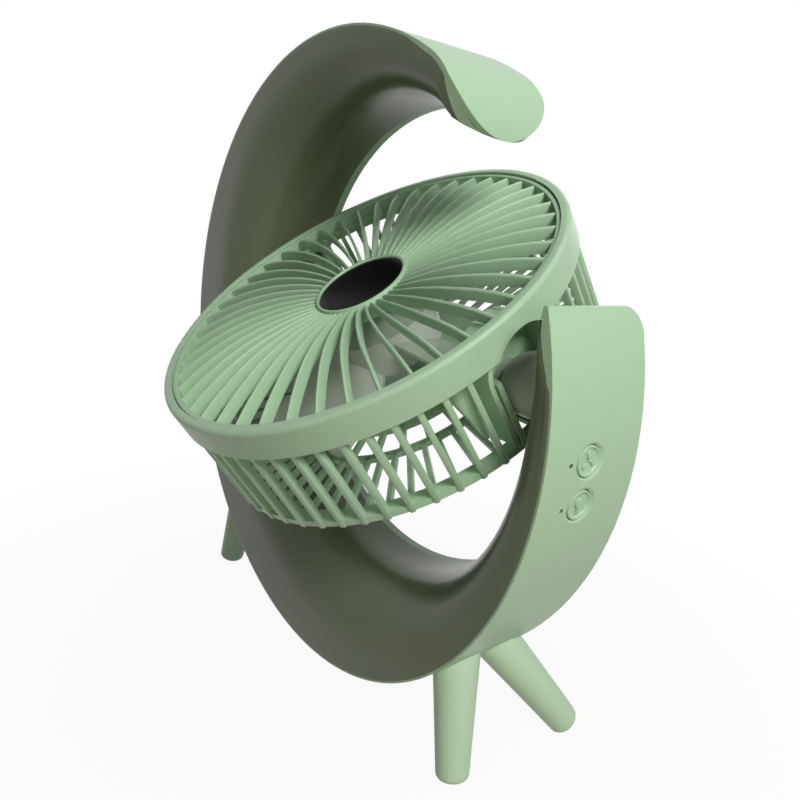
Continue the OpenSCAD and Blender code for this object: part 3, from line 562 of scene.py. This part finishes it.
def buildGrille():
    g = grille
    crest, front, between = g["crest"], g["front"], g["betweenCrest"]
    stations = []
    for here, there in zip(crest, crest[1:]):
        for k in range(between):
            t = k / between
            stations.append([here[j] * (1 - t) + there[j] * t for j in range(3)])
    stations.append(list(crest[-1]))
    sections = []
    for r, rise, angle in stations:
        share = (r - g["hubR"]) / g["thickOver"]
        thick = g["thickHub"] * (1 - share) + g["thickRim"] * share
        top = front + rise
        sections.append(finSection(r, top, angle, thick, grilleUnderside(r, top)))
    fin = meshFrom("fin", [loft(sections)])
    fins = repeatAround("fins", fin, g["fins"], g["firstAngle"])
    discLow, discTop = g["discHeights"]
    inner, outer, foot, under, soft = g["outerRing"]
    top = front - under
    rings = meshFrom("grilleRings", [
        lathe([(inner, foot), (outer, foot), (outer, top - soft), (outer - soft, top), (inner + soft, top),
               (inner, top - soft)]),
        lathe([(r, front + z) for r, z in g["hubRing"]], g["hubSteps"]),
        lathe([(tiny, discLow), (g["discR"], discLow), (g["discR"], discTop), (tiny, discTop)], g["hubSteps"]),
    ])
    mesh = joinMeshes("grilleFins", [fins, rings], headPlace)
    addPiece("frontGrille", mesh, "mint_plastic", "head", ["front_grille"], smooth=40)


# ---- rear cage ----

cage = {
    # heights along the head's axis, mm
    "bars": 60, "barOut": 89.85, "barIn": 86.85, "barWide": 2.3, "low": -18.0, "high": 20.45,
    "barSoft": 0.45, "barNick": 0.3, "barEnds": (0.82, 0.98), "barLip": 0.01, "firstAngle": 3.0,
    # half widths across the tilting axis that the panels and the arch over them keep free
    "keepOut": 12.9, "archSide": 15.6, "acrossR": 90.0,
    # bars under the arch: further in, a little narrower, and shorter
    "shortIn": 1.4, "shortWide": 0.2, "shortHigh": 12.6,
    # ribs and spokes of the rear face: inner and outer radius
    "ribs": (56.5, 86.0), "spokes": (41.5, 57.5), "spokeAngle": 6.0,
    "ribWide": 2.0, "ribDeep": 2.6, "ribSoft": 0.4,
    # rings of the rear face: inner and outer radius, thickness, softened corner, steps round
    "rings": ((83.4, 89.2, 3.2, 0.5, 180), (55.6, 58.4, 2.6, 0.4, 120)),
    "plateR": 43.0, "plateDeep": 2.6, "plateSoft": 0.5, "plateSteps": 120,
}


def roundedBar(rIn, wide, high):
    # upright bar along the head's axis, with rounded outer corners and slightly drawn-in ends
    c = cage
    rOut, low, soft = c["barOut"], c["low"], c["barSoft"]
    h, nick = wide / 2, soft * c["barNick"]
    outline = [(rIn, -h), (rOut - soft, -h), (rOut - nick, -h + nick), (rOut, -h + soft),
               (rOut, h - soft), (rOut - nick, h - nick), (rOut - soft, h), (rIn, h)]
    middle = (rIn + rOut) / 2
    lowEnd, highEnd = c["barEnds"]
    sections = []
    for z, k in ((low, lowEnd), (low + soft, 1.0), (high - c["barLip"], 1.0), (high, highEnd)):
        sections.append([(middle + (x - middle) * k, y * k, z) for x, y in outline])
    return meshFrom("bar", [loft(sections)])


def ribMesh(r0, r1):
    # flat rib of the rear face, softened outside
    c = cage
    h, soft, low = c["ribWide"] / 2, c["ribSoft"], c["low"]
    high = low + c["ribDeep"]
    outline = [(-h, high), (-h, low + soft), (-h + soft, low), (h - soft, low), (h, low + soft), (h, high)]
    return meshFrom("rib", [loft([[(r, y, z) for y, z in outline] for r in (r0, (r0 + r1) / 2, r1)])])


def buildCage():
    c = cage
    count, first, low = c["bars"], c["firstAngle"], c["low"]
    longBar = roundedBar(c["barIn"], c["barWide"], c["high"])
    shortBar = roundedBar(c["barIn"] - c["shortIn"], c["barWide"] - c["shortWide"], c["shortHigh"])
    bars = repeatAround("bars", longBar, count, first, c["acrossR"], c["archSide"])
    shortBars = repeatAround("shortBars", shortBar, count, first, c["acrossR"], c["keepOut"], c["archSide"])
    ribs = repeatAround("ribs", ribMesh(*c["ribs"]), count, first)
    spokes = repeatAround("spokes", ribMesh(*c["spokes"]), count // 2, c["spokeAngle"])
    parts = []
    for inner, outer, deep, soft, steps in c["rings"]:
        parts.append(lathe([(inner, low + soft), (inner + soft, low), (outer - soft, low), (outer, low + soft),
                            (outer, low + deep), (inner, low + deep)], steps))
    r, soft, high = c["plateR"], c["plateSoft"], low + c["plateDeep"]
    plate = [(tiny, low), (r - soft, low), (r, low + soft), (r, high), (tiny, high)]
    parts.append(lathe(plate, c["plateSteps"]))
    rings = meshFrom("cageRings", parts)
    mesh = joinMeshes("cageBars", [bars, shortBars, ribs, spokes, rings], headPlace)
    addPiece("rearCage", mesh, "mint_plastic", "head", ["rear_cage"], smooth=40)


# ---- badge ----

badge = {
    "radius": 19.0, "top": 30.9, "thick": 2.3, "crown": 0.35, "crownSteps": 8, "steps": 128,
    # rounded edge, from the corner of the side and the top
    "edge": ((0.0, -0.55), (-0.12, -0.25), (-0.5, -0.08)),
}


def buildBadge():
    b = badge
    r, top, steps = b["radius"], b["top"], b["crownSteps"]
    profile = [(tiny, top - b["thick"]), (r, top - b["thick"])]
    profile += [(r + out, top + up) for out, up in b["edge"]]
    out, up = b["edge"][-1]
    for k in range(1, steps + 1):
        share = 1 - k / steps
        profile.append(((r + out) * share + tiny, top + up + b["crown"] * (1 - share * share)))
    mesh = joinMeshes("badgeFace", [meshFrom("badgeDisc", [lathe(profile, b["steps"])])], headPlace)
    addPiece("badge", mesh, "black_gloss", "head", ["badge_disc"], smooth=40)


# ---- keys on the arm ----

keys = {
    "each": {
        # name: (node, body, degrees below the ring's centre line, icon)
        "powerKey": ("button_power", "power_key", 2.2924, "fan"),
        "lampKey": ("button_lamp", "lamp_key", 8.8031, "bulb"),
    },
    # heights are distances from the ring's centre, mm
    "across": -2.0, "faceR": 5.5, "flangeR": 7.0, "stemR": 1.6,
    "stemLow": 134.22, "flangeLow": 135.96, "flangeTop": 137.16, "face": 139.7,
    # rounded rim of the face, then the dish's edge and its foot, each as steps out and up
    "rim": ((0.0, -0.32), (-0.06, -0.14), (-0.2, -0.03), (-0.4, 0.0)),
    "dish": 0.75, "dishR": 4.7, "dishEdge": ((0.25, 0.0), (0.08, -0.06), (-0.1, -0.24)),
    "dishFoot": ((-0.42, 0.1), (-0.8, 0.02)),
    # cone in the shell round each key
    "holeR": 5.95, "coneR": 6.85, "coneLow": 139.2, "ringTop": 140.0, "coneOver": 1.0,
    "iconRise": 0.68, "iconSink": 0.05, "steps": 96,
}

icons = {
    # a blade's middle, half sizes and swell towards its tip; the draft is how far a raised shape narrows
    "blades": 3, "bladeSteps": 14, "bladeAt": (2.0, 0.35), "bladeHalf": (1.45, 1.05),
    "bladeSwell": (0.75, 0.35), "hubR": 0.5, "hubSteps": 16, "draft": 0.12, "softTop": 0.1,
    # the bulb's glass, its neck and the two rings of its cap; X runs down the arm
    "glassAt": -0.85, "glassR": 1.95, "glassFrom": 35, "glassTurn": 290, "glassSteps": 24, "glassDraft": 0.08,
    "neck": 1.45, "capHalf": 0.85, "capRings": (1.8, 2.6), "capWide": 0.5, "capDraw": 0.1,
}


def keyPlace(degrees):
    # local Z points out of the ring, local X down along the arm
    turn = Matrix.Rotation(radians(degrees), 4, "Y")
    across = Matrix.Translation((0, keys["across"] * mm, 0))
    return ringPlace @ turn @ across @ Matrix.Rotation(pi / 2, 4, "Y")


def slab(outline, low, high, draft):
    # raised shape with slightly sloping sides
    cx = sum(p[0] for p in outline) / len(outline)
    cy = sum(p[1] for p in outline) / len(outline)
    rows = []
    for z, k in ((low, 1.0), (high - icons["softTop"], 1 - draft / 2), (high, 1 - draft)):
        rows.append([(cx + (x - cx) * k, cy + (y - cy) * k, z) for x, y in outline])
    return loft(rows)


def bladeOutline(turn):
    # one round-tipped blade, swept to one side
    g = icons
    outline = []
    for i in range(g["bladeSteps"]):
        a = 2 * pi * i / g["bladeSteps"]
        swell = g["bladeSwell"][0] + g["bladeSwell"][1] * cos(a)
        x = g["bladeAt"][0] + g["bladeHalf"][0] * cos(a)
        y = g["bladeAt"][1] + g["bladeHalf"][1] * sin(a) * swell
        outline.append((x * cos(turn) - y * sin(turn), x * sin(turn) + y * cos(turn)))
    return outline


def iconParts(kind, low, high):
    g = icons
    draft = g["draft"]
    if kind == "fan":
        outlines = [bladeOutline(radians(360 * k / g["blades"] + 180)) for k in range(g["blades"])]
        turns = [2 * pi * i / g["hubSteps"] for i in range(g["hubSteps"])]
        outlines.append([(g["hubR"] * cos(a), g["hubR"] * sin(a)) for a in turns])
        return [slab(outline, low, high, draft) for outline in outlines]
    half, wide, draw, count = g["capHalf"], g["capWide"], g["capDraw"], g["glassSteps"]
    turns = [radians(g["glassFrom"] + g["glassTurn"] * i / count) for i in range(count + 1)]
    glass = [(g["glassAt"] + g["glassR"] * cos(a), g["glassR"] * sin(a)) for a in turns]
    parts = [slab(glass + [(g["neck"], -half), (g["neck"], half)], low, high, g["glassDraft"])]
    for x in g["capRings"]:
        ring = [(x, -half), (x + wide, draw - half), (x + wide, half - draw), (x, half)]
        parts.append(slab(ring, low, high, draft))
    return parts


def keyRecesses():
    # shallow cones that slope the shell down to each key
    k = keys
    top = k["ringTop"] + k["coneOver"]
    profile = [(tiny, k["coneLow"]), (k["holeR"], k["coneLow"]), (k["coneR"], k["ringTop"]), (k["coneR"], top),
               (tiny, top)]
    return meshFrom("keyCones", [placed(lathe(profile, k["steps"]), keyPlace(degrees))
                                 for _, _, degrees, _ in k["each"].values()])


def buildKeys():
    k = keys
    face, r, dishR = k["face"], k["faceR"], k["dishR"]
    low = face - k["dish"]
    profile = [(tiny, k["stemLow"]), (k["stemR"], k["stemLow"]), (k["stemR"], k["flangeLow"]),
               (k["flangeR"], k["flangeLow"]), (k["flangeR"], k["flangeTop"]), (r, k["flangeTop"])]
    profile += [(r + out, face + up) for out, up in k["rim"]]
    profile += [(dishR + out, face + up) for out, up in k["dishEdge"]]
    profile += [(dishR + out, low + up) for out, up in k["dishFoot"]]
    profile.append((tiny, low))
    for name, (node, body, degrees, icon) in k["each"].items():
        parts = [lathe(profile, k["steps"])] + iconParts(icon, low - k["iconSink"], low + k["iconRise"])
        mesh = joinMeshes(name, [meshFrom(name + "Parts", parts)], keyPlace(degrees))
        addPiece(name, mesh, "mint_plastic", body, [node], smooth=38)


# ---- light cover ----

cover = {
    # mm; the hole's middle is measured from the ring's centre, and angles from +X about that middle
    "hole": (23.0, 13.0), "holeR": 102.0, "outer": 137.94, "lean": 9.0, "front": -23.5, "rear": 19.45,
    "wall": 2.2, "wallShare": 0.33, "firstAngle": 13.9, "lastAngle": -304.2, "steps": 230,
    # the horn's curl: middle, radius inside the shell and outside it, and where it takes over from the ring
    "curlMiddle": (50.704, 95.358), "curl": 29.94, "curlOuter": 32.0, "curlAngles": (30, 62),
    # rounding from the front face into the hole, and the most of the front that it may take
    "roundWide": 34.0, "roundDeep": 27.0, "wideShare": 0.82, "deepShare": 1.1, "leastWidth": 0.5,
    "wallRows": 6, "roundRows": 14, "frontRows": 4, "innerRows": 3, "innerSkip": 2,
    # the arm's reach about the centre line, radians, and the height share above which the horn lies
    "armReach": 1.0, "hornFrom": 0.5,
    # a step in the wall's depth, mm, and how often its place is halved
    "rearStep": 1.0, "halvings": 18,
    # how far the horn leans, its round nose, and the shell's solid ends, which start at the middle plane
    "hornTurn": 31.0, "nose": 23.8, "solid": 26.1, "armSolid": 33.7, "solidFront": -0.05,
    # edge that laps over the shell's front, and how it turns down there
    "flange": 1.2, "flangeThick": 0.28, "flangeFade": 12.0, "flangeTaper": 12,
    "flangeSlope": 0.35, "flangeSoft": 0.12, "flangeShoulder": 0.6, "flangeSit": 0.02,
    # where the shell's nose begins, at its own edge and at the hole
    "noseAngles": (63.0, 58.5),
    # where the cover narrows towards the arm's top, how much and how fast
    "taper": (2.5, 13.9), "taperShare": 0.8, "taperCurve": 1.3,
    # the shell's lip beside the taper
    "lipDeep": 3.0, "lipGap": 0.08, "lipSoft": 0.25, "lipOver": 0.1, "lipLeast": 0.02, "lipSteps": 30,
    # screw posts behind the front
    "postAngles": (104, 143, 246, 288, 318), "postR": 4.0, "postBore": 1.3, "postRear": 18.95, "stripR": 131.2,
    "postSkin": 1.2, "postFloor": 2.1, "postSteps": 32,
    "sharp": 50,  # edges turned further than this stay sharp, degrees
}


def hornEnd():
    # corner where the curl meets the hole, from the two circles
    c = cover
    hx, hz = c["hole"]
    mx, mz = c["curlMiddle"]
    d = hypot(hx - mx, hz - mz)
    along = (c["curlOuter"] ** 2 - c["holeR"] ** 2 + d * d) / (2 * d)
    across = sqrt(c["curlOuter"] ** 2 - along ** 2)
    ux, uz = (hx - mx) / d, (hz - mz) / d
    return mx + along * ux - across * uz, mz + along * uz + across * ux


def holeEdge(angle):
    # distance of the hole's edge: a circle, then the arm's straight leaning face
    c = cover
    turned = angle + radians(c["lean"])
    if 0 < turned < c["armReach"]:
        return c["holeR"] / cos(turned)
    return c["holeR"]


def farCrossing(angle, middle, r):
    # distance along a line from the hole's middle to the far side of a circle, or None where it misses
    hx, hz = cover["hole"]
    mx, mz = middle[0] - hx, middle[1] - hz
    k = mx * cos(angle) + mz * sin(angle)
    inside = k * k - mx * mx - mz * mz + r ** 2
    return k + sqrt(inside) if inside > 0 and k + sqrt(inside) > 0 else None


def outerEdge(angle):
    # distance of the shell's inner face: the ring's circle, or the horn's curl beyond it
    c = cover
    ring = farCrossing(angle, (0.0, 0.0), c["outer"])
    hx, hz = c["hole"]
    spot = atan2(hz + ring * sin(angle), hx + ring * cos(angle))
    low, high = (radians(a) for a in c["curlAngles"])
    curl = farCrossing(angle, c["curlMiddle"], c["curl"]) if low < spot < high else None
    return ring if curl is None else curl


def armTaper(angle):
    # share of the arm's front that the cover fills: it narrows to a point at the arm's top
    c = cover
    start, end = (radians(a) for a in c["taper"])
    along = min(max((angle - start) / (end - start), 0.0), 1.0) if abs(angle) < c["armReach"] else 0.0
    return 1 - c["taperShare"] * along ** c["taperCurve"]


def coverRounding(angle):
    # near and far edge of the front, its width, and the rounding's width and depth
    c = cover
    near, far = holeEdge(angle), outerEdge(angle)
    far = near + (far - near) * armTaper(angle)
    width = max(far - near, c["leastWidth"])
    wide = min(c["roundWide"], c["wideShare"] * width)
    return near, far, width, wide, min(c["roundDeep"], c["deepShare"] * wide)


def quarterRound(near, front, wide, deep, turns):
    # points of the rounding, from the hole's wall to the front
    return [(near + wide * (1 - cos(t)), front + deep * (1 - sin(t))) for t in turns]


def coverSection(angle):
    # closed outline of the cover's wall at one angle, as (distance from the hole's middle, depth)
    c = cover
    near, far, width, wide, deep = coverRounding(angle)
    skin = min(c["wall"], c["wallShare"] * width)
    ux, uz = cos(angle), sin(angle)
    hx, hz = c["hole"]
    ex, ez = hornEnd()
    lean = radians(c["hornTurn"])

    def upHorn(r):
        return (hz + r * uz - ez) * cos(lean) - (hx + r * ux - ex) * sin(lean)

    start = upHorn(near)
    onHorn = ux > 0 and uz > c["hornFrom"]
    solid = start < c["solid"] if onHorn else ux > 0 and hz + near * uz > c["armSolid"]
    front, rear = c["front"], c["solidFront"] if solid else c["rear"]
    # the flange fades out on the horn's nose and at the arm's point
    along = min(max((start - c["nose"]) / c["flangeFade"], 0.0), 1.0)
    fade = max(1 - (1 - armTaper(angle)) * c["flangeTaper"], 0.0)
    share = along * along * (3 - 2 * along) if onHorn else fade
    edge, proud = far + c["flange"] * share, c["flangeThick"] * share
    turn = pi / 2 / c["roundRows"]
    rows, across, inner = c["wallRows"], c["frontRows"], c["innerRows"]
    outline = [(near, rear + (front + deep - rear) * i / rows) for i in range(rows + 1)]
    outline += quarterRound(near, front, wide, deep, [turn * i for i in range(1, c["roundRows"] + 1)])
    flat = far - c["flangeSlope"] - near - wide
    outline += [(near + wide + flat * i / across, front - proud * i / across) for i in range(1, across + 1)]
    outline += [(edge - c["flangeSoft"], front - proud), (edge, front - proud * c["flangeShoulder"]),
                (edge, front - c["flangeSit"]), (far, front - c["flangeSit"] / 2),
                (far, front + skin), (far - skin, front + skin)]
    inside = len(outline)  # the wall's inner side starts here
    flat = near + wide - far + skin
    outline += [(far - skin + flat * i / inner, front + skin) for i in range(1, inner + 1)]
    turns = [turn * i for i in range(c["roundRows"] - 1, 0, -c["innerSkip"])]
    outline += quarterRound(near + skin, front + skin, wide - skin, deep - skin, turns)
    outline += [(near + skin, front + deep + (rear - front - deep) * i / inner) for i in range(inner + 1)]
    points = []
    for i, (r, y) in enumerate(outline):
        up = upHorn(r)
        if onHorn and up < c["nose"]:  # the nose is round from front to back
            limit = sqrt(c["nose"] ** 2 - (c["nose"] - max(up, 0.0)) ** 2)
            y = min(max(y, -limit + (skin if i >= inside else 0)), c["solidFront"])
        points.append((hx + r * ux, y, hz + r * uz))
    return points


def splitHorn(mesh, names):
    # the cover's end on the horn is the shell's: a plane through the ring's depth parts the two
    c = cover
    hole = ringCentre + Vector((c["hole"][0], 0, c["hole"][1])) * mm
    shellAngle, holeAngle = (radians(a) for a in c["noseAngles"])
    ends = [hole + Vector((cos(a), 0, sin(a))) * r * mm
            for a, r in ((shellAngle, outerEdge(shellAngle)), (holeAngle, c["holeR"]))]
    along = (ends[1] - ends[0]).normalized()
    towardsTip = Vector((-along.z, 0, along.x))

    def onTop(face):
        middle = face.calc_center_median()
        return middle.x > hole.x and middle.z > hole.z + c["holeR"] / 2 * mm

    def isNose(face):
        return onTop(face) and (face.calc_center_median() - ends[0]).dot(towardsTip) > 0

    parts = []
    for name, wantsNose in zip(names, (False, True)):
        part = bpy.data.meshes.new(name)
        with editing(part, [mesh]) as bm:
            faces = [f for f in bm.faces if onTop(f)]
            edges = {e for f in faces for e in f.edges}
            verts = {v for f in faces for v in f.verts}
            bmesh.ops.bisect_plane(bm, geom=faces + list(edges) + list(verts), dist=mergeGap,
                                   plane_co=ends[0], plane_no=towardsTip)
            bmesh.ops.delete(bm, geom=[f for f in bm.faces if isNose(f) != wantsNose], context="FACES")
            bmesh.ops.holes_fill(bm, edges=[e for e in bm.edges if e.is_boundary], sides=0)
        parts.append(part)
    return parts


def coverSections():
    # sections all along the ring, with two close together at each step in the wall's depth
    c = cover
    first, last = radians(c["firstAngle"]), radians(c["lastAngle"])
    angles = [first + (last - first) * i / c["steps"] for i in range(c["steps"] + 1)]

    def rearOf(angle):
        return coverSection(angle)[0][1]

    sections = [coverSection(first)]
    for before, angle in zip(angles, angles[1:]):
        rear = rearOf(before)
        if abs(rearOf(angle) - rear) > c["rearStep"]:
            low, high = before, angle
            for _ in range(c["halvings"]):
                middle = (low + high) / 2
                if abs(rearOf(middle) - rear) > c["rearStep"]:
                    high = middle
                else:
                    low = middle
            sections += [coverSection(low), coverSection(high)]
        sections.append(coverSection(angle))
    return sections


def screwPost(degrees):
    # hollow post that starts under the rounding, midway between the hole's wall and the light strip
    c = cover
    hx, hz = c["hole"]
    a = radians(degrees)
    k = hx * cos(a) + hz * sin(a)
    inner = k + sqrt(c["holeR"] ** 2 - hx * hx - hz * hz + k * k)
    r = (inner + c["wall"] + c["stripR"]) / 2
    px, pz = r * cos(a) - hx, r * sin(a) - hz
    near, _, _, wide, deep = coverRounding(atan2(pz, px))
    share = min(max((hypot(px, pz) - c["postR"] - near) / wide, 0.0), 1.0)
    start = c["front"] + deep * (1 - sqrt(1 - (1 - share) ** 2)) + c["postSkin"]
    verts, faces = lathe([(c["postBore"], start + c["postFloor"]), (c["postR"], start),
                          (c["postR"], c["postRear"]), (c["postBore"], c["postRear"])], c["postSteps"])
    # the post's axis turns from Z to the ring's depth
    return [(x + r * cos(a) * mm, z, -y + r * sin(a) * mm) for x, y, z in verts], faces


def buildArmLip():
    # lip of the shell that fills the arm's front beside the cover's point
    c = cover
    hx, hz = c["hole"]
    front = c["front"]
    start, end = (radians(a) for a in c["taper"])
    sections = []
    for i in range(c["lipSteps"] + 1):
        angle = start + (end - start) * i / c["lipSteps"]
        near, shell = holeEdge(angle), outerEdge(angle) + c["lipOver"]
        low = near + (outerEdge(angle) - near) * armTaper(angle) + c["lipGap"]
        low = min(low, shell - c["lipLeast"])
        outline = [(low, front + c["lipSoft"]), (min(low + c["lipSoft"], shell), front), (shell, front),
                   (shell, front + c["lipDeep"]), (low, front + c["lipDeep"])]
        sections.append([(hx + r * cos(angle), y, hz + r * sin(angle)) for r, y in outline])
    mesh = joinMeshes("armLip", [meshFrom("lipParts", [loft(sections)])], ringPlace)
    addPiece("armLip", mesh, "mint_plastic", "stand", smooth=40)


def buildCover():
    c = cover
    parts = [loft(coverSections())] + [screwPost(degrees) for degrees in c["postAngles"]]
    mesh = joinMeshes("coverWhole", [meshFrom("coverParts", parts)], ringPlace)
    ring, nose = splitHorn(mesh, ("coverRing", "coverNose"))
    addPiece("ringCover", evenShading(ring, "ringCover", c["sharp"]), "smoked_cover", "stand", ["light_cover"])
    addPiece("hornNose", evenShading(nose, "hornNose", c["sharp"]), "mint_plastic", "stand")
    buildArmLip()


# ---- legs ----

legs = {
    "each": {
        # name: (side, sideways lean, foot's place behind the middle plane, top's place)
        "leg_front_right": (1, 7.6, -14.0, -10.0), "leg_front_left": (-1, 7.6, -14.0, -10.0),
        "leg_rear_right": (1, 12.2, 43.0, 13.5), "leg_rear_left": (-1, 12.2, 43.0, 13.5),
    },
    "ringR": 140.0, "topAngle": 43.5, "drop": 138.7, "topR": 8.6, "topReach": 11.5, "seam": 0.05,
    "footR": 6.7, "corner": 2.5, "cornerSteps": 8, "boreR": 1.55, "boreDeep": 14.0, "steps": 72,
}


def legMesh(name, foot, top):
    g = legs
    axis, length = (top - foot).normalized(), (top - foot).length
    # the flat end of the leg dips to the table
    r, corner, count = g["footR"], g["corner"], g["cornerSteps"]
    slope = sqrt(1 - axis.z ** 2)
    end = (g["drop"] + corner + (r - corner) * slope - ringCentre.z / mm) / axis.z
    profile = [(tiny, end - corner), (r - corner, end - corner)]
    for i in range(1, count + 1):
        t = pi / 2 * i / count
        profile.append((r - corner + corner * sin(t), end - corner * cos(t)))
    reach, bore = length + g["topReach"], length - g["boreDeep"]
    widest = g["topR"] + (g["topR"] - r) * g["topReach"] / length
    profile += [(widest, reach), (g["boreR"], reach), (g["boreR"], bore), (tiny, bore)]
    place = Matrix.Translation(ringCentre + foot * mm) @ axis.to_track_quat("Z", "Y").to_matrix().to_4x4()
    mesh = joinMeshes(name, [meshFrom(name + "Parts", [lathe(profile, g["steps"])])], place)
    # the top follows the ring's round face: slide back along the leg to it
    d = place.to_3x3() @ Vector((0, 0, 1))
    face = (g["ringR"] + g["seam"]) * mm
    for vertex in mesh.vertices:
        x, z = vertex.co.x, vertex.co.z - ringCentre.z
        if hypot(x, z) < face:
            k, q = x * d.x + z * d.z, d.x ** 2 + d.z ** 2
            slide = (k + sqrt(max(k * k - q * (x * x + z * z - face * face), 0))) / q
            vertex.co = vertex.co - d * slide
    return mesh


def buildLegs():
    g = legs
    a = radians(g["topAngle"])
    topX, topZ = g["ringR"] * sin(a), -g["ringR"] * cos(a)
    for name, (side, lean, footY, topY) in g["each"].items():
        top = Vector((side * topX, topY, topZ))
        foot = Vector((side * (topX + lean), footY, -g["drop"]))
        mesh = legMesh(name + "_skin", foot, top)
        addPiece(name + "_skin", mesh, "leg_mint", "stand", [name], smooth=50)


# ---- screws and socket ----

fixings = {
    # screws in the shell's posts: angle and distance from the ring's centre
    "posts": ((104, 119.61), (143, 110.968), (246, 106.475), (288, 113.401), (318, 120.335)),
    # cross recesses: length and width, then the depths that they cut between
    "postCross": (3.4, 0.85), "postCut": (22.1, 24.0), "motorCross": (2.9, 0.75), "motorCut": (-20.0, -18.7),
    "motorR": 13.0, "motorAngles": (30, 150, 270), "headSoft": 0.15,
    # charging socket's angle below the centre line and distance, and its tongue's half sizes and depths
    "socket": (28.0, 123.571), "tongue": (0.35, 2.9), "tongueCut": (17.1, 21.9),
}


def block(wide, long, low, high):
    corners = ((-wide, -long), (wide, -long), (wide, long), (-wide, long))
    return loft([[(x, y, z) for x, y in corners] for z in (low, high)])


def crosses(name, size, cut, places):
    # one clean twelve-cornered prism at each place
    long, wide = size[0] / 2, size[1] / 2
    corner = [(long, -wide), (long, wide), (wide, wide)]
    outline = []
    for k in range(4):
        turn = Matrix.Rotation(pi / 2 * k, 2)
        outline += [tuple(turn @ Vector(point)) for point in corner]
    prism = loft([[(x, y, z) for x, y in outline] for z in cut])
    return meshFrom(name, [placed(prism, place) for place in places])


def rearPlace(degrees, r):
    # on the ring at an angle above its centre line, with local Z to the rear
    turn, out = Matrix.Rotation(radians(-degrees), 4, "Y"), Matrix.Translation((r * mm, 0, 0))
    return ringPlace @ turn @ out @ Matrix.Rotation(-pi / 2, 4, "X")


def buildFixings():
    f = fixings
    places = [rearPlace(degrees, r) for degrees, r in f["posts"]]
    cutter = crosses("shellCrosses", f["postCross"], f["postCut"], places)
    dress("shell_screws", "stand", "shellScrews", f["headSoft"], cutter=cutter)
    out = Matrix.Translation((f["motorR"] * mm, 0, 0))
    places = [headPlace @ Matrix.Rotation(radians(a), 4, "Z") @ out for a in f["motorAngles"]]
    cutter = crosses("motorCrosses", f["motorCross"], f["motorCut"], places)
    dress("motor_screws", "head", "motorScrews", f["headSoft"], cutter=cutter)
    degrees, r = f["socket"]
    mesh = meshFrom("socketTongue", [placed(block(*f["tongue"], *f["tongueCut"]), rearPlace(-degrees, r))])
    addPiece("socketTongue", mesh, "dark_plastic", "stand", smooth=30)


# ---- run ----

placeCamera()
lightTheRoom()
layFloor()
print("table fan: camera, lights and floor placed")
buildGrille()
buildCage()
buildBadge()
print("table fan: head pieces built")
dress("outer_shell", "stand", "ringShell", bevel=0.7, segments=3, cutter=keyRecesses())
buildCover()
buildLegs()
for side in ("right", "left"):
    dress("side_panel_" + side, "head", "panel_" + side, bevel=0.4)
    dress("pivot_dome_" + side, "stand", "dome_" + side)
dress("head_rim", "head", "rimBand", degrees=40)
dress("impeller", "fan", "fanBlades", bevel=0.25)
buildKeys()
buildFixings()
print("table fan: shell, legs, keys and fixings dressed")
